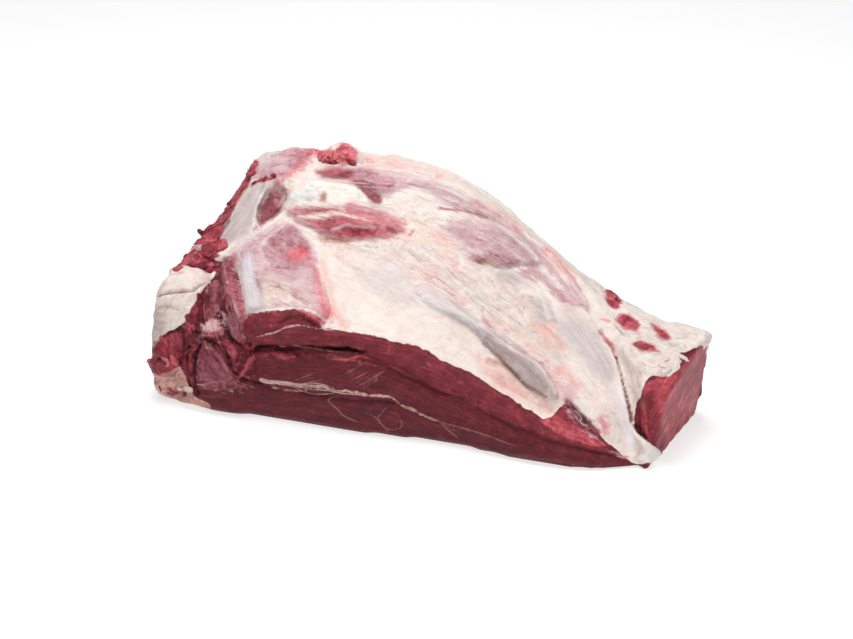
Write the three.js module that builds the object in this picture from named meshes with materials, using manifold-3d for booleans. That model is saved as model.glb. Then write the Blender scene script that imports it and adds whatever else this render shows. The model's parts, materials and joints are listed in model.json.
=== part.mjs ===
// A raw beef shoulder clod: one boneless joint, cut along the front and across the thin end.
// Millimetres, +Z up. +X runs from the thick ragged end to the thin cut end, and -Y is the long cut face.
import * as THREE from "three";
import { mergeVertices } from "three/addons/utils/BufferGeometryUtils.js";
import Module from "manifold-3d";

const wasm = await Module();
wasm.setup();

// ---- Driving dimensions ----

const LEFT_END = -226;
const RIGHT_RUN_OUT = 236;
const LEFT_END_ROUNDING = 24;
const LEFT_END_LUMPS = { depth: 7, spacing: 120 };
const RINGS_ALONG = 58;
const POINTS_AROUND = 54;

// Sections of the main muscle mass. front and back are where it meets the table, frontTop the height of the
// long cut face, lean how far that face leans back, and crown the highest point, which lies at crownY.
const SECTIONS = [
  { x: -226, front: -108, frontTop: 64, lean: 4, crownY: 30, crown: 112, back: 66 },
  { x: -206, front: -118, frontTop: 70, lean: 4, crownY: 46, crown: 130, back: 90 },
  { x: -182, front: -122, frontTop: 72, lean: 4, crownY: 60, crown: 149, back: 106 },
  { x: -150, front: -121, frontTop: 73, lean: 4, crownY: 66, crown: 158, back: 115 },
  { x: -100, front: -120, frontTop: 78, lean: 4, crownY: 66, crown: 162, back: 120 },
  { x: -54, front: -121, frontTop: 86, lean: 4, crownY: 66, crown: 158, back: 118 },
  { x: -8, front: -117, frontTop: 82, lean: 3, crownY: 62, crown: 146, back: 112 },
  { x: 33, front: -114, frontTop: 66, lean: 2, crownY: 56, crown: 126, back: 104 },
  { x: 75, front: -119, frontTop: 47, lean: 4, crownY: 46, crown: 100, back: 90 },
  { x: 107, front: -121, frontTop: 33, lean: 5, crownY: 32, crown: 86, back: 80 },
  { x: 150, front: -117, frontTop: 20, lean: 7, crownY: 0, crown: 80, back: 44 },
  { x: 190, front: -98, frontTop: 9, lean: 3, crownY: -10, crown: 78, back: 10 },
  { x: 236, front: -80, frontTop: 12, lean: 3, crownY: -30, crown: 72, back: -16 },
];

// Share of each section's points on the front face, the top and the back. The rest are on the underside.
const SHARES = { front: 0.15, top: 0.47, back: 0.28 };
const FRONT_BULGE = 5;
const TOP_ROUNDNESS = 0.75;
const BACK_SQUARENESS = 0.8;
const BACK_LUMPS = { depth: 2, spacing: 66 };

// Swellings (height above 0) and hollows (below 0) on the top. length runs along turn, in degrees from +X.
const TOP_RELIEF = [
  { name: "ridge muscle", x: -20, y: 44, length: 120, width: 17, turn: -2, height: 5 },
  { name: "ridge muscle end", x: 96, y: 26, length: 45, width: 14, turn: -38, height: 5 },
  { name: "second muscle", x: 52, y: 2, length: 58, width: 20, turn: -22, height: 7 },
  { name: "groove above second muscle", x: 20, y: 25, length: 70, width: 8, turn: -8, height: -5 },
  { name: "fat mound", x: -112, y: -2, length: 30, width: 17, turn: 5, height: 7 },
  { name: "spindle muscle", x: -82, y: -30, length: 40, width: 11, turn: -6, height: 4 },
  { name: "groove by the spindle", x: -76, y: -46, length: 42, width: 7, turn: -8, height: -4 },
  { name: "hollow beside the tendon", x: -158, y: -2, length: 24, width: 10, turn: 72, height: -9 },
  { name: "tendon strap", x: -184, y: -12, length: 34, width: 9, turn: 72, height: 5 },
  { name: "webbed fat", x: 50, y: -42, length: 75, width: 18, turn: -20, height: 6 },
  { name: "smooth fat dip", x: 10, y: -92, length: 62, width: 13, turn: -8, height: -4 },
  { name: "hollow by the blue tendon", x: 44, y: -71, length: 66, width: 8, turn: -24, height: -5 },
  { name: "blue membrane swelling", x: 122, y: -46, length: 34, width: 16, turn: -42, height: 6 },
  { name: "corner fat", x: 146, y: -90, length: 28, width: 12, turn: -30, height: 5 },
  { name: "frayed hollow", x: 124, y: -104, length: 20, width: 9, turn: -28, height: -6 },
  { name: "thin end hollow", x: 168, y: -12, length: 26, width: 10, turn: 20, height: -4 },
];

// Muscles that swell from the back. share is how far down the back each lies, and depth how far it stands out.
const BACK_RELIEF = [
  { name: "large back muscle", x: -110, share: 0.62, length: 74, width: 0.24, depth: 9 },
  { name: "small back muscle", x: 38, share: 0.6, length: 58, width: 0.22, depth: 7 },
  { name: "upper back groove", x: -60, share: 0.24, length: 120, width: 0.06, depth: -3 },
  { name: "groove between back muscles", x: -26, share: 0.6, length: 20, width: 0.34, depth: -5 },
  { name: "groove before the thin end", x: 104, share: 0.55, length: 16, width: 0.3, depth: -3 },
];

// ---- Shape helpers ----

const radians = THREE.MathUtils.degToRad;

// A smooth curve through one named size of the sections.
function sizeAlong(name) {
  const xs = SECTIONS.map((s) => s.x);
  const sizes = SECTIONS.map((s) => s[name]);
  const last = xs.length - 1;
  const slope = (i) => {
    const a = Math.max(i - 1, 0);
    const b = Math.min(i + 1, last);
    return (sizes[b] - sizes[a]) / (xs[b] - xs[a]);
  };
  return (x) => {
    const clamped = THREE.MathUtils.clamp(x, xs[0], xs[last]);
    let i = 0;
    while (i < last - 1 && clamped > xs[i + 1]) i++;
    const run = xs[i + 1] - xs[i];
    const t = (clamped - xs[i]) / run;
    const rise = sizes[i + 1] - sizes[i];
    const a = slope(i) * run - rise;
    const b = rise - slope(i + 1) * run;
    return sizes[i] + rise * t + t * (1 - t) * (a * (1 - t) + b * t);
  };
}

// Soft uneven lumps, between about -1 and 1, at the given spacing.
function lumpiness(x, y, z, spacing) {
  const k = (2 * Math.PI) / spacing;
  const first = Math.sin(k * x + 1.3 * Math.sin(0.7 * k * y)) * Math.sin(0.9 * k * y + 0.8 * k * z + 0.4);
  const second = Math.sin(1.7 * k * z - 0.6 * k * x + 2.1) * Math.sin(1.3 * k * y + 0.5 * k * x);
  return 0.6 * first + 0.4 * second;
}

// A closed mesh as a manifold solid.
function solidOf(geometry) {
  const bare = geometry.clone();
  bare.deleteAttribute("normal");
  bare.deleteAttribute("uv");
  const merged = mergeVertices(bare, 1e-3);
  const corners = merged.index.array;
  const triangles = [];
  for (let i = 0; i < corners.length; i += 3) {
    const [a, b, c] = corners.subarray(i, i + 3);
    if (a !== b && b !== c && c !== a) triangles.push(a, b, c);
  }
  return new wasm.Manifold(
    new wasm.Mesh({
      numProp: 3,
      vertProperties: merged.attributes.position.array,
      triVerts: new Uint32Array(triangles),
    }),
  );
}

function geometryOf(solid) {
  const mesh = solid.getMesh();
  const geometry = new THREE.BufferGeometry();
  geometry.setAttribute("position", new THREE.BufferAttribute(mesh.vertProperties, 3));
  geometry.setIndex(new THREE.BufferAttribute(mesh.triVerts, 1));
  geometry.computeVertexNormals();
  return geometry;
}

// A sphere's points, moved one by one: place(along, around, point) gets the shares 0 to 1 of each point.
function shapedSphere(around, along, place) {
  const geometry = new THREE.SphereGeometry(1, around, along);
  const position = geometry.attributes.position;
  const point = new THREE.Vector3();
  for (let i = 0; i < position.count; i++) {
    const ring = Math.floor(i / (around + 1));
    const step = (i % (around + 1)) % around;
    point.fromBufferAttribute(position, i);
    place(ring / along, step / around, point);
    position.setXYZ(i, point.x, point.y, point.z);
  }
  return geometry;
}

// A lump of meat or fat: a squared-off ellipsoid with uneven sides. turn is in degrees about X, Y and Z.
function lobe({ at, half, turn = [0, 0, 0], square = 2.4, uneven = 0, spacing = 30, detail = 16 }) {
  const geometry = shapedSphere(detail, Math.round(detail * 0.7), (along, around, p) => {
    const power = (v) => Math.abs(v) ** square;
    p.multiplyScalar((power(p.x) + power(p.y) + power(p.z)) ** (-1 / square));
    const grow = 1 + uneven * lumpiness(p.x * half[0] + at[0], p.y * half[1] + at[1], p.z * half[2], spacing);
    p.multiply(new THREE.Vector3(...half)).multiplyScalar(grow);
  });
  const euler = new THREE.Euler(...turn.map(radians), "ZYX");
  geometry.applyMatrix4(new THREE.Matrix4().makeRotationFromEuler(euler));
  geometry.translate(...at);
  return solidOf(geometry);
}

// A strand or, when cut away, a seam: an ellipse swept along a smooth line, thinning to both ends.
// across is its half width level with the table, deep its half width towards the inside.
function strand({ through, across, deep, facing = [0, 0, 1], blunt = 0.5, around = 6, rings = 14 }) {
  const line = new THREE.CatmullRomCurve3(through.map((p) => new THREE.Vector3(...p)));
  const normal = new THREE.Vector3(...facing).normalize();
  const geometry = shapedSphere(around, rings, (along, step, p) => {
    const centre = line.getPointAt(along);
    const side = line.getTangentAt(along).cross(normal).normalize();
    const size = Math.sin(Math.PI * along) ** blunt;
    const angle = -2 * Math.PI * step;
    p.copy(centre);
    p.addScaledVector(side, across * size * Math.cos(angle));
    p.addScaledVector(normal, deep * size * Math.sin(angle));
  });
  const solid = solidOf(geometry);
  if (solid.volume() > 0) return solid;
  geometry.index.array.reverse();
  return solidOf(geometry);
}

// A slab with upright sides on a plan outline, bevelled above and below. It rises by rise for each millimetre
// that y grows from the outline's first point.
function slab({ outline, bottom, thickness, bevel, rise }) {
  const rim = new THREE.SplineCurve(outline.map((p) => new THREE.Vector2(...p)));
  const closed = new THREE.SplineCurve([...rim.points, rim.points[0]]);
  const shape = new THREE.Shape(closed.getPoints(3 * outline.length));
  const geometry = new THREE.ExtrudeGeometry(shape, {
    depth: thickness - 2 * bevel,
    bevelThickness: bevel,
    bevelSize: bevel,
    bevelOffset: -bevel,
    bevelSegments: 2,
  });
  geometry.translate(0, -outline[0][1], bottom + bevel);
  geometry.applyMatrix4(new THREE.Matrix4().makeShear(0, 0, 0, rise, 0, 0));
  geometry.translate(0, outline[0][1], 0);
  return solidOf(geometry);
}

// ---- The main muscle mass ----

const front = sizeAlong("front");
const frontTop = sizeAlong("frontTop");
const lean = sizeAlong("lean");
const crownY = sizeAlong("crownY");
const crown = sizeAlong("crown");
const back = sizeAlong("back");

function topRelief(x, y) {
  return TOP_RELIEF.reduce((height, bump) => {
    const turn = radians(bump.turn);
    const dx = x - bump.x;
    const dy = y - bump.y;
    const u = (dx * Math.cos(turn) + dy * Math.sin(turn)) / bump.length;
    const v = (dy * Math.cos(turn) - dx * Math.sin(turn)) / bump.width;
    return height + bump.height * Math.exp(-(u ** 4) - v ** 2);
  }, 0);
}

function backRelief(x, share) {
  return BACK_RELIEF.reduce((depth, bump) => {
    const u = (x - bump.x) / bump.length;
    const v = (share - bump.share) / bump.width;
    return depth + bump.depth * Math.exp(-(u ** 4) - v ** 2);
  }, 0);
}

// The point at share v round the section at x: up the cut face, over the top, down the back, and underneath.
function sectionPoint(x, v) {
  const edgeY = front(x) + lean(x);
  if (v < SHARES.front) {
    const t = v / SHARES.front;
    return [front(x) + lean(x) * t - FRONT_BULGE * Math.sin(Math.PI * t), frontTop(x) * t];
  }
  if (v < SHARES.front + SHARES.top) {
    const t = (v - SHARES.front) / SHARES.top;
    const rise = TOP_ROUNDNESS * Math.sin((Math.PI / 2) * t) + (1 - TOP_ROUNDNESS) * t * (2 - t);
    const y = edgeY + (crownY(x) - edgeY) * t;
    const reliefShare = Math.min(1, 8 * t);
    return [y, frontTop(x) + (crown(x) - frontTop(x)) * rise + reliefShare * topRelief(x, y)];
  }
  if (v < SHARES.front + SHARES.top + SHARES.back) {
    const t = (v - SHARES.front - SHARES.top) / SHARES.back;
    const angle = (Math.PI / 2) * t;
    const y = crownY(x) + (back(x) - crownY(x)) * Math.sin(angle) ** BACK_SQUARENESS;
    const top = crown(x) + topRelief(x, y);
    const lumps = BACK_LUMPS.depth * lumpiness(x, y, BACK_LUMPS.spacing * t, BACK_LUMPS.spacing);
    const out = (backRelief(x, t) + lumps) * Math.sin(Math.PI * t) ** 0.5;
    return [y + out, top * Math.cos(angle) ** BACK_SQUARENESS];
  }
  const left = 1 - SHARES.front - SHARES.top - SHARES.back;
  const t = (v - SHARES.front - SHARES.top - SHARES.back) / left;
  return [back(x) + (front(x) - back(x)) * t, 0];
}

// The sections joined up, with the left end rounded off and the right end closed where the knife takes it away.
function mainMass() {
  const roundedShare = 0.1;
  const closingShare = 0.03;
  const straight = RIGHT_RUN_OUT - LEFT_END - LEFT_END_ROUNDING;
  const geometry = shapedSphere(POINTS_AROUND, RINGS_ALONG, (along, around, p) => {
    let x = RIGHT_RUN_OUT;
    let size = Math.max(0, (1 - along) / closingShare);
    if (along < roundedShare) {
      const angle = (Math.PI / 2) * (along / roundedShare);
      x = LEFT_END + LEFT_END_ROUNDING * (1 - Math.cos(angle));
      size = Math.sin(angle) ** 0.7;
    } else if (along < 1 - closingShare) {
      const share = (along - roundedShare) / (1 - closingShare - roundedShare);
      x = LEFT_END + LEFT_END_ROUNDING + straight * share;
      size = 1;
    }
    const [y, z] = sectionPoint(x, around);
    const middleY = (front(x) + back(x)) / 2;
    const middleZ = 0.4 * crown(x);
    const endY = middleY + (y - middleY) * size;
    const endZ = Math.max(0, middleZ + (z - middleZ) * size);
    const swell = LEFT_END_LUMPS.depth * lumpiness(0, endY, endZ, LEFT_END_LUMPS.spacing);
    p.set(x + swell * Math.max(0, 1 - along / roundedShare), endY, endZ);
  });
  return solidOf(geometry);
}

// ---- Lobes, strands and seams on it ----

const LOBES = [
  // Fat and ragged meat of the thick end.
  { at: [-203, -92, 76], half: [25, 28, 32], turn: [0, 10, 0], square: 2.8, uneven: 0.06, spacing: 24 },
  { at: [-212, -104, 42], half: [19, 22, 27], square: 2.8, uneven: 0.08, spacing: 18 },
  { at: [-200, -106, 12], half: [26, 17, 13], square: 2.6, uneven: 0.1, spacing: 16 },
  { at: [-164, -117, 23], half: [36, 12, 25], turn: [0, 8, 2], square: 3, uneven: 0.04 },
  { at: [-184, -104, 62], half: [15, 19, 32], turn: [0, -12, 0], square: 2.6, uneven: 0.06 },
  { at: [-203, -38, 78], half: [20, 50, 34], square: 3, uneven: 0.05, spacing: 34 },
  // The loose corner of the tongue, and the fat over the thin end.
  { at: [186, -97, 12], half: [10, 5, 17], turn: [0, -14, -48], square: 2.8, detail: 10 },
  { at: [176, -40, 71], half: [44, 24, 9], turn: [6, 3, -50], square: 3, uneven: 0.08, spacing: 30 },
  { at: [200, -30, 72], half: [34, 26, 9], turn: [4, 4, -18], square: 3, uneven: 0.1, spacing: 24 },
  // The hump over the thick end.
  { at: [-161, 46, 134], half: [39, 44, 28], square: 2.6, uneven: 0.05, spacing: 46 },
];

// The square flap of muscle over the left of the cut face, and the block of the thin end behind the tongue.
const FLAP = {
  outline: [
    [-160, -113], [-140, -122], [-86, -121], [-74, -107], [-82, -88], [-98, -60],
    [-122, -38], [-152, -34], [-174, -56], [-171, -86],
  ],
  bottom: 70,
  thickness: 29,
  bevel: 6,
  rise: 0.38,
};
const THIN_END = {
  outline: [[124, -10], [150, -44], [172, -74], [191, -97], [236, -92], [244, -30], [206, -6], [166, 12], [128, 24]],
  bottom: -16,
  thickness: 93,
  bevel: 10,
  rise: 0.12,
};

// A run of small torn lumps along a line, each turned its own way.
function raggedRun({ from, to, count, size, wobble }) {
  return Array.from({ length: count }, (_, i) => {
    const t = i / (count - 1);
    const at = from.map((v, k) => v + (to[k] - v) * t + wobble * Math.sin(7 * i + 2 * k + 1));
    const swell = 1 + 0.3 * Math.sin(5 * i + 1);
    const half = [1.7 * size * swell, 0.9 * size, (0.7 * size) / swell];
    const turn = [20 * Math.sin(3 * i), 18 * Math.sin(4 * i), 75 * i];
    return { at, half, turn, uneven: 0.25, spacing: 11, detail: 9 };
  });
}
const RAGGED_EDGES = [
  { from: [-200, -74, 98], to: [-198, -12, 114], count: 8, size: 9.5, wobble: 3 },
  { from: [-199, 14, 117], to: [-188, 66, 136], count: 7, size: 9, wobble: 2.5 },
  { from: [-134, 60, 163], to: [-103, 53, 165], count: 5, size: 8.5, wobble: 2 },
];

// Seams between muscles, and folds, that are cut into the solid.
const SEAMS = [
  // Between the upper band of the cut face and the muscle under it, deep at the left.
  { through: [[-134, -122, 62], [-100, -123, 64], [-62, -124, 69], [-34, -122, 68]], across: 3.2, deep: 9,
    facing: [0, 1, 0] },
  { through: [[-40, -121, 68], [-10, -119, 55], [30, -117, 42], [72, -121, 28], [112, -123, 18]], across: 1.6,
    deep: 4, facing: [0, 1, 0] },
  // Above the lowest muscle.
  { through: [[-196, -124, 62], [-178, -128, 44], [-160, -130, 31], [-128, -128, 25], [-92, -126, 22]],
    across: 2.6, deep: 8, facing: [0, 1, 0] },
  { through: [[-100, -126, 23], [-40, -127, 21], [10, -122, 16], [60, -122, 9]], across: 1.3, deep: 4,
    facing: [0, 1, 0] },
  // Under the flap.
  { through: [[-166, -124, 84], [-150, -124, 70], [-120, -126, 71], [-84, -124, 78]], across: 2.2, deep: 7,
    facing: [0, 1, 0] },
  // Folds of the thick end.
  { through: [[-204, -126, 74], [-198, -127, 52], [-190, -130, 34], [-188, -128, 10]], across: 3, deep: 9,
    facing: [0.5, 1, 0] },
  { through: [[-236, -100, 64], [-222, -118, 66], [-206, -126, 60]], across: 2.6, deep: 8, facing: [0.5, 1, 0] },
  // The slit between the tongue and the block of the thin end.
  { through: [[128, -26, 80], [150, -58, 64], [170, -82, 50], [184, -98, 30], [190, -104, 14]], across: 1.8,
    deep: 12 },
];

// The tendon that stands out of the sloping top.
const BLUE_TENDON = {
  through: [[-2, -44, 112], [28, -58, 98], [60, -70, 76], [92, -86, 57], [116, -96, 42]],
  across: 7,
  deep: 6.5,
  blunt: 0.35,
  around: 10,
  rings: 20,
};

// ---- Knives that trim it ----

// A block of space that the knife takes away, from its face at the origin towards +X.
function knife({ at, turnY, turnZ }) {
  const reach = 400;
  const block = new THREE.BoxGeometry(reach, reach, reach);
  block.translate(reach / 2, 0, 0);
  block.rotateY(radians(turnY));
  block.rotateZ(radians(turnZ));
  block.translate(...at);
  return solidOf(block);
}

// Everything below the table, where nothing of the clod lies.
function table() {
  const block = new THREE.BoxGeometry(1000, 1000, 100);
  block.translate(0, 0, -50);
  return solidOf(block);
}

const joined = [...LOBES, ...RAGGED_EDGES.flatMap(raggedRun)]
  .map(lobe)
  .concat(slab(FLAP), slab(THIN_END), strand(BLUE_TENDON))
  .reduce((whole, piece) => whole.add(piece), mainMass());
const seamed = SEAMS.map(strand).reduce((whole, seam) => whole.subtract(seam), joined);
const clod = seamed.subtract(knife({ at: [196, -88, 0], turnY: 7, turnZ: -11 })).subtract(table());

// The origin is under the middle, on the table.
const box = clod.boundingBox();
const mesh = new THREE.Mesh(
  geometryOf(clod),
  new THREE.MeshStandardMaterial({ color: "#a8545c", roughness: 0.45, metalness: 0 }),
);
mesh.name = "shoulder_clod";
mesh.position.set(-(box.min[0] + box.max[0]) / 2, -(box.min[1] + box.max[1]) / 2, -box.min[2]);

const group = new THREE.Group();
group.add(mesh);
export default group;
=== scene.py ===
"""A raw beef shoulder clod: its solid dressed with muscles, fat, silverskin, tendons and torn edges."""

import json
import math
from collections import namedtuple
from contextlib import contextmanager

import bmesh
import bpy
import numpy as np
from mathutils import Matrix, Vector
from mathutils.bvhtree import BVHTree

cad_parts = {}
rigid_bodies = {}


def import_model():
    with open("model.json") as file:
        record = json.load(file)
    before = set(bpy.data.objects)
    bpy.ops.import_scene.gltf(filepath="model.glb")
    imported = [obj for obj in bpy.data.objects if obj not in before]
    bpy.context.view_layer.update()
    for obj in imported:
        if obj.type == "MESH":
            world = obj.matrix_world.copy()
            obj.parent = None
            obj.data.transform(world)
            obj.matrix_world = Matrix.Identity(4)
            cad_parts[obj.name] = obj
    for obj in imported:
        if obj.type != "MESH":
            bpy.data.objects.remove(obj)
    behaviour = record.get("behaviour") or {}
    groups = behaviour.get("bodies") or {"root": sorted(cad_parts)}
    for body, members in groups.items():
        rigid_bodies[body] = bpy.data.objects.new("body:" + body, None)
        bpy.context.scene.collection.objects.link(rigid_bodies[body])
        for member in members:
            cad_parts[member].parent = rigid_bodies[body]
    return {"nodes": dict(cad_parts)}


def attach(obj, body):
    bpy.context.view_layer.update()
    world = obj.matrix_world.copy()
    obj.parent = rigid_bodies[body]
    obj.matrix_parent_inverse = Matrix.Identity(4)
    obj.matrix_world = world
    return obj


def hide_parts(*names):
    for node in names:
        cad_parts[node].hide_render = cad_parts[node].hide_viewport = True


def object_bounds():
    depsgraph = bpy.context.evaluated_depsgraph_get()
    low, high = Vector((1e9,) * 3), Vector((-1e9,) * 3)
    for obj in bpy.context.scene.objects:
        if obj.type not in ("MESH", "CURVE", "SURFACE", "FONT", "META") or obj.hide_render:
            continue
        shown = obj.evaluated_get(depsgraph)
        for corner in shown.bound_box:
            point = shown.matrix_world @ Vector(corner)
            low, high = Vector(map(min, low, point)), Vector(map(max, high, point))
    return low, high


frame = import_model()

bl_info = {
    "name": "Raw Beef Shoulder Clod",
    "version": (1, 0, 0),
    "blender": (4, 5, 0),
    "location": "3D View > Sidebar > Beef Clod",
    "description": "Dresses the solid of a raw beef shoulder clod",
    "category": "Object",
}

SOLID_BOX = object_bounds()
MM = 0.001

# How far inside the solid's box everything is kept, and the heights over the table between which relief sets in.
CLEARANCE = 0.05
FOOT = (0.5, 6)

# ---- The view that the marks are drawn in ----

# Marks on the meat are drawn as they are seen from here, in points across and down a 853 by 639 picture.
VIEW_TARGET = np.array([-15.6, -3.1, 51.0])
VIEW_AZIMUTH = 18.0
VIEW_ELEVATION = 27.0
VIEW_DISTANCE = 1600.0
VIEW_LENS = 80.0
SENSOR = 36.0
PICTURE_WIDTH = 853
PICTURE_HEIGHT = 639


def view_directions():
    """Right, up and towards the viewer, as unit vectors."""
    azimuth, elevation = math.radians(VIEW_AZIMUTH), math.radians(VIEW_ELEVATION)
    level = math.cos(elevation)
    back = np.array([math.sin(azimuth) * level, -math.cos(azimuth) * level, math.sin(elevation)])
    right = np.array([math.cos(azimuth), math.sin(azimuth), 0.0])
    return right, np.cross(back, right), back


VIEW_RIGHT, VIEW_UP, VIEW_BACK = view_directions()
EYE = VIEW_TARGET + VIEW_DISTANCE * VIEW_BACK
POINTS_PER_RADIAN = PICTURE_WIDTH * VIEW_LENS / SENSOR


def seen_at(places):
    """Where places, in millimetres, are seen: points across and down the picture."""
    away = places - EYE
    depth = -(away @ VIEW_BACK)
    across = PICTURE_WIDTH / 2 + POINTS_PER_RADIAN * (away @ VIEW_RIGHT) / depth
    down = PICTURE_HEIGHT / 2 - POINTS_PER_RADIAN * (away @ VIEW_UP) / depth
    return np.stack([across, down], axis=1)


def ray_through(point):
    """The direction from the eye through a point of the picture."""
    across = (point[0] - PICTURE_WIDTH / 2) / POINTS_PER_RADIAN
    down = (point[1] - PICTURE_HEIGHT / 2) / POINTS_PER_RADIAN
    way = -VIEW_BACK + across * VIEW_RIGHT - down * VIEW_UP
    return way / np.linalg.norm(way)


# ---- Marks ----

# kind is the tissue. half is half the width of a line, in picture points, at its start, middle and end.
# tone goes from -1, dark or red, to 1, pale. lift is how far the mark stands out, in millimetres, and rim the
# width of the slope at its edge. web is how streaky its fat is. warm goes from -1, grey, to 1, flushed pink.
# soft is the width of its edge in colour. rim and soft are in picture points. A mark with no kind only changes
# tone, lift, web and warmth.
Mark = namedtuple("Mark", "name kind closed points half tone lift rim soft web warm")

LEAN, FAT, SKIN, TENDON, RAW = "lean", "fat", "skin", "tendon", "raw"


def area(name, kind, points, tone=0.0, lift=0.0, rim=4.0, soft=3.0, web=0.0, warm=0.0):
    """A patch with a smooth outline."""
    return Mark(name, kind, True, points, (0, 0, 0), tone, lift, rim, soft, web, warm)


def line(name, kind, points, half, tone=0.0, lift=0.0, rim=2.0, soft=2.0, web=0.0, warm=0.0):
    """A strip along a smooth line."""
    widths = half if isinstance(half, tuple) else (half, half, half)
    return Mark(name, kind, False, points, widths, tone, lift, rim, soft, web, warm)


TOP_EDGE_OF_CUT = [
    (660, 458), (640, 464), (625, 457), (607, 443), (596, 430), (582, 416), (568, 404), (556, 412), (545, 418),
    (530, 411), (515, 402), (500, 392), (485, 383), (470, 373), (450, 365), (438, 358), (430, 352), (415, 346),
    (400, 343), (385, 339), (370, 335), (345, 331), (330, 328),
]
EDGE_OF_THIN_END = [
    (718, 340), (698, 347), (690, 350), (680, 353), (681, 359), (677, 370), (665, 376), (650, 377), (641, 395),
    (636, 405), (634, 430), (645, 440), (660, 450),
]

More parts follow.
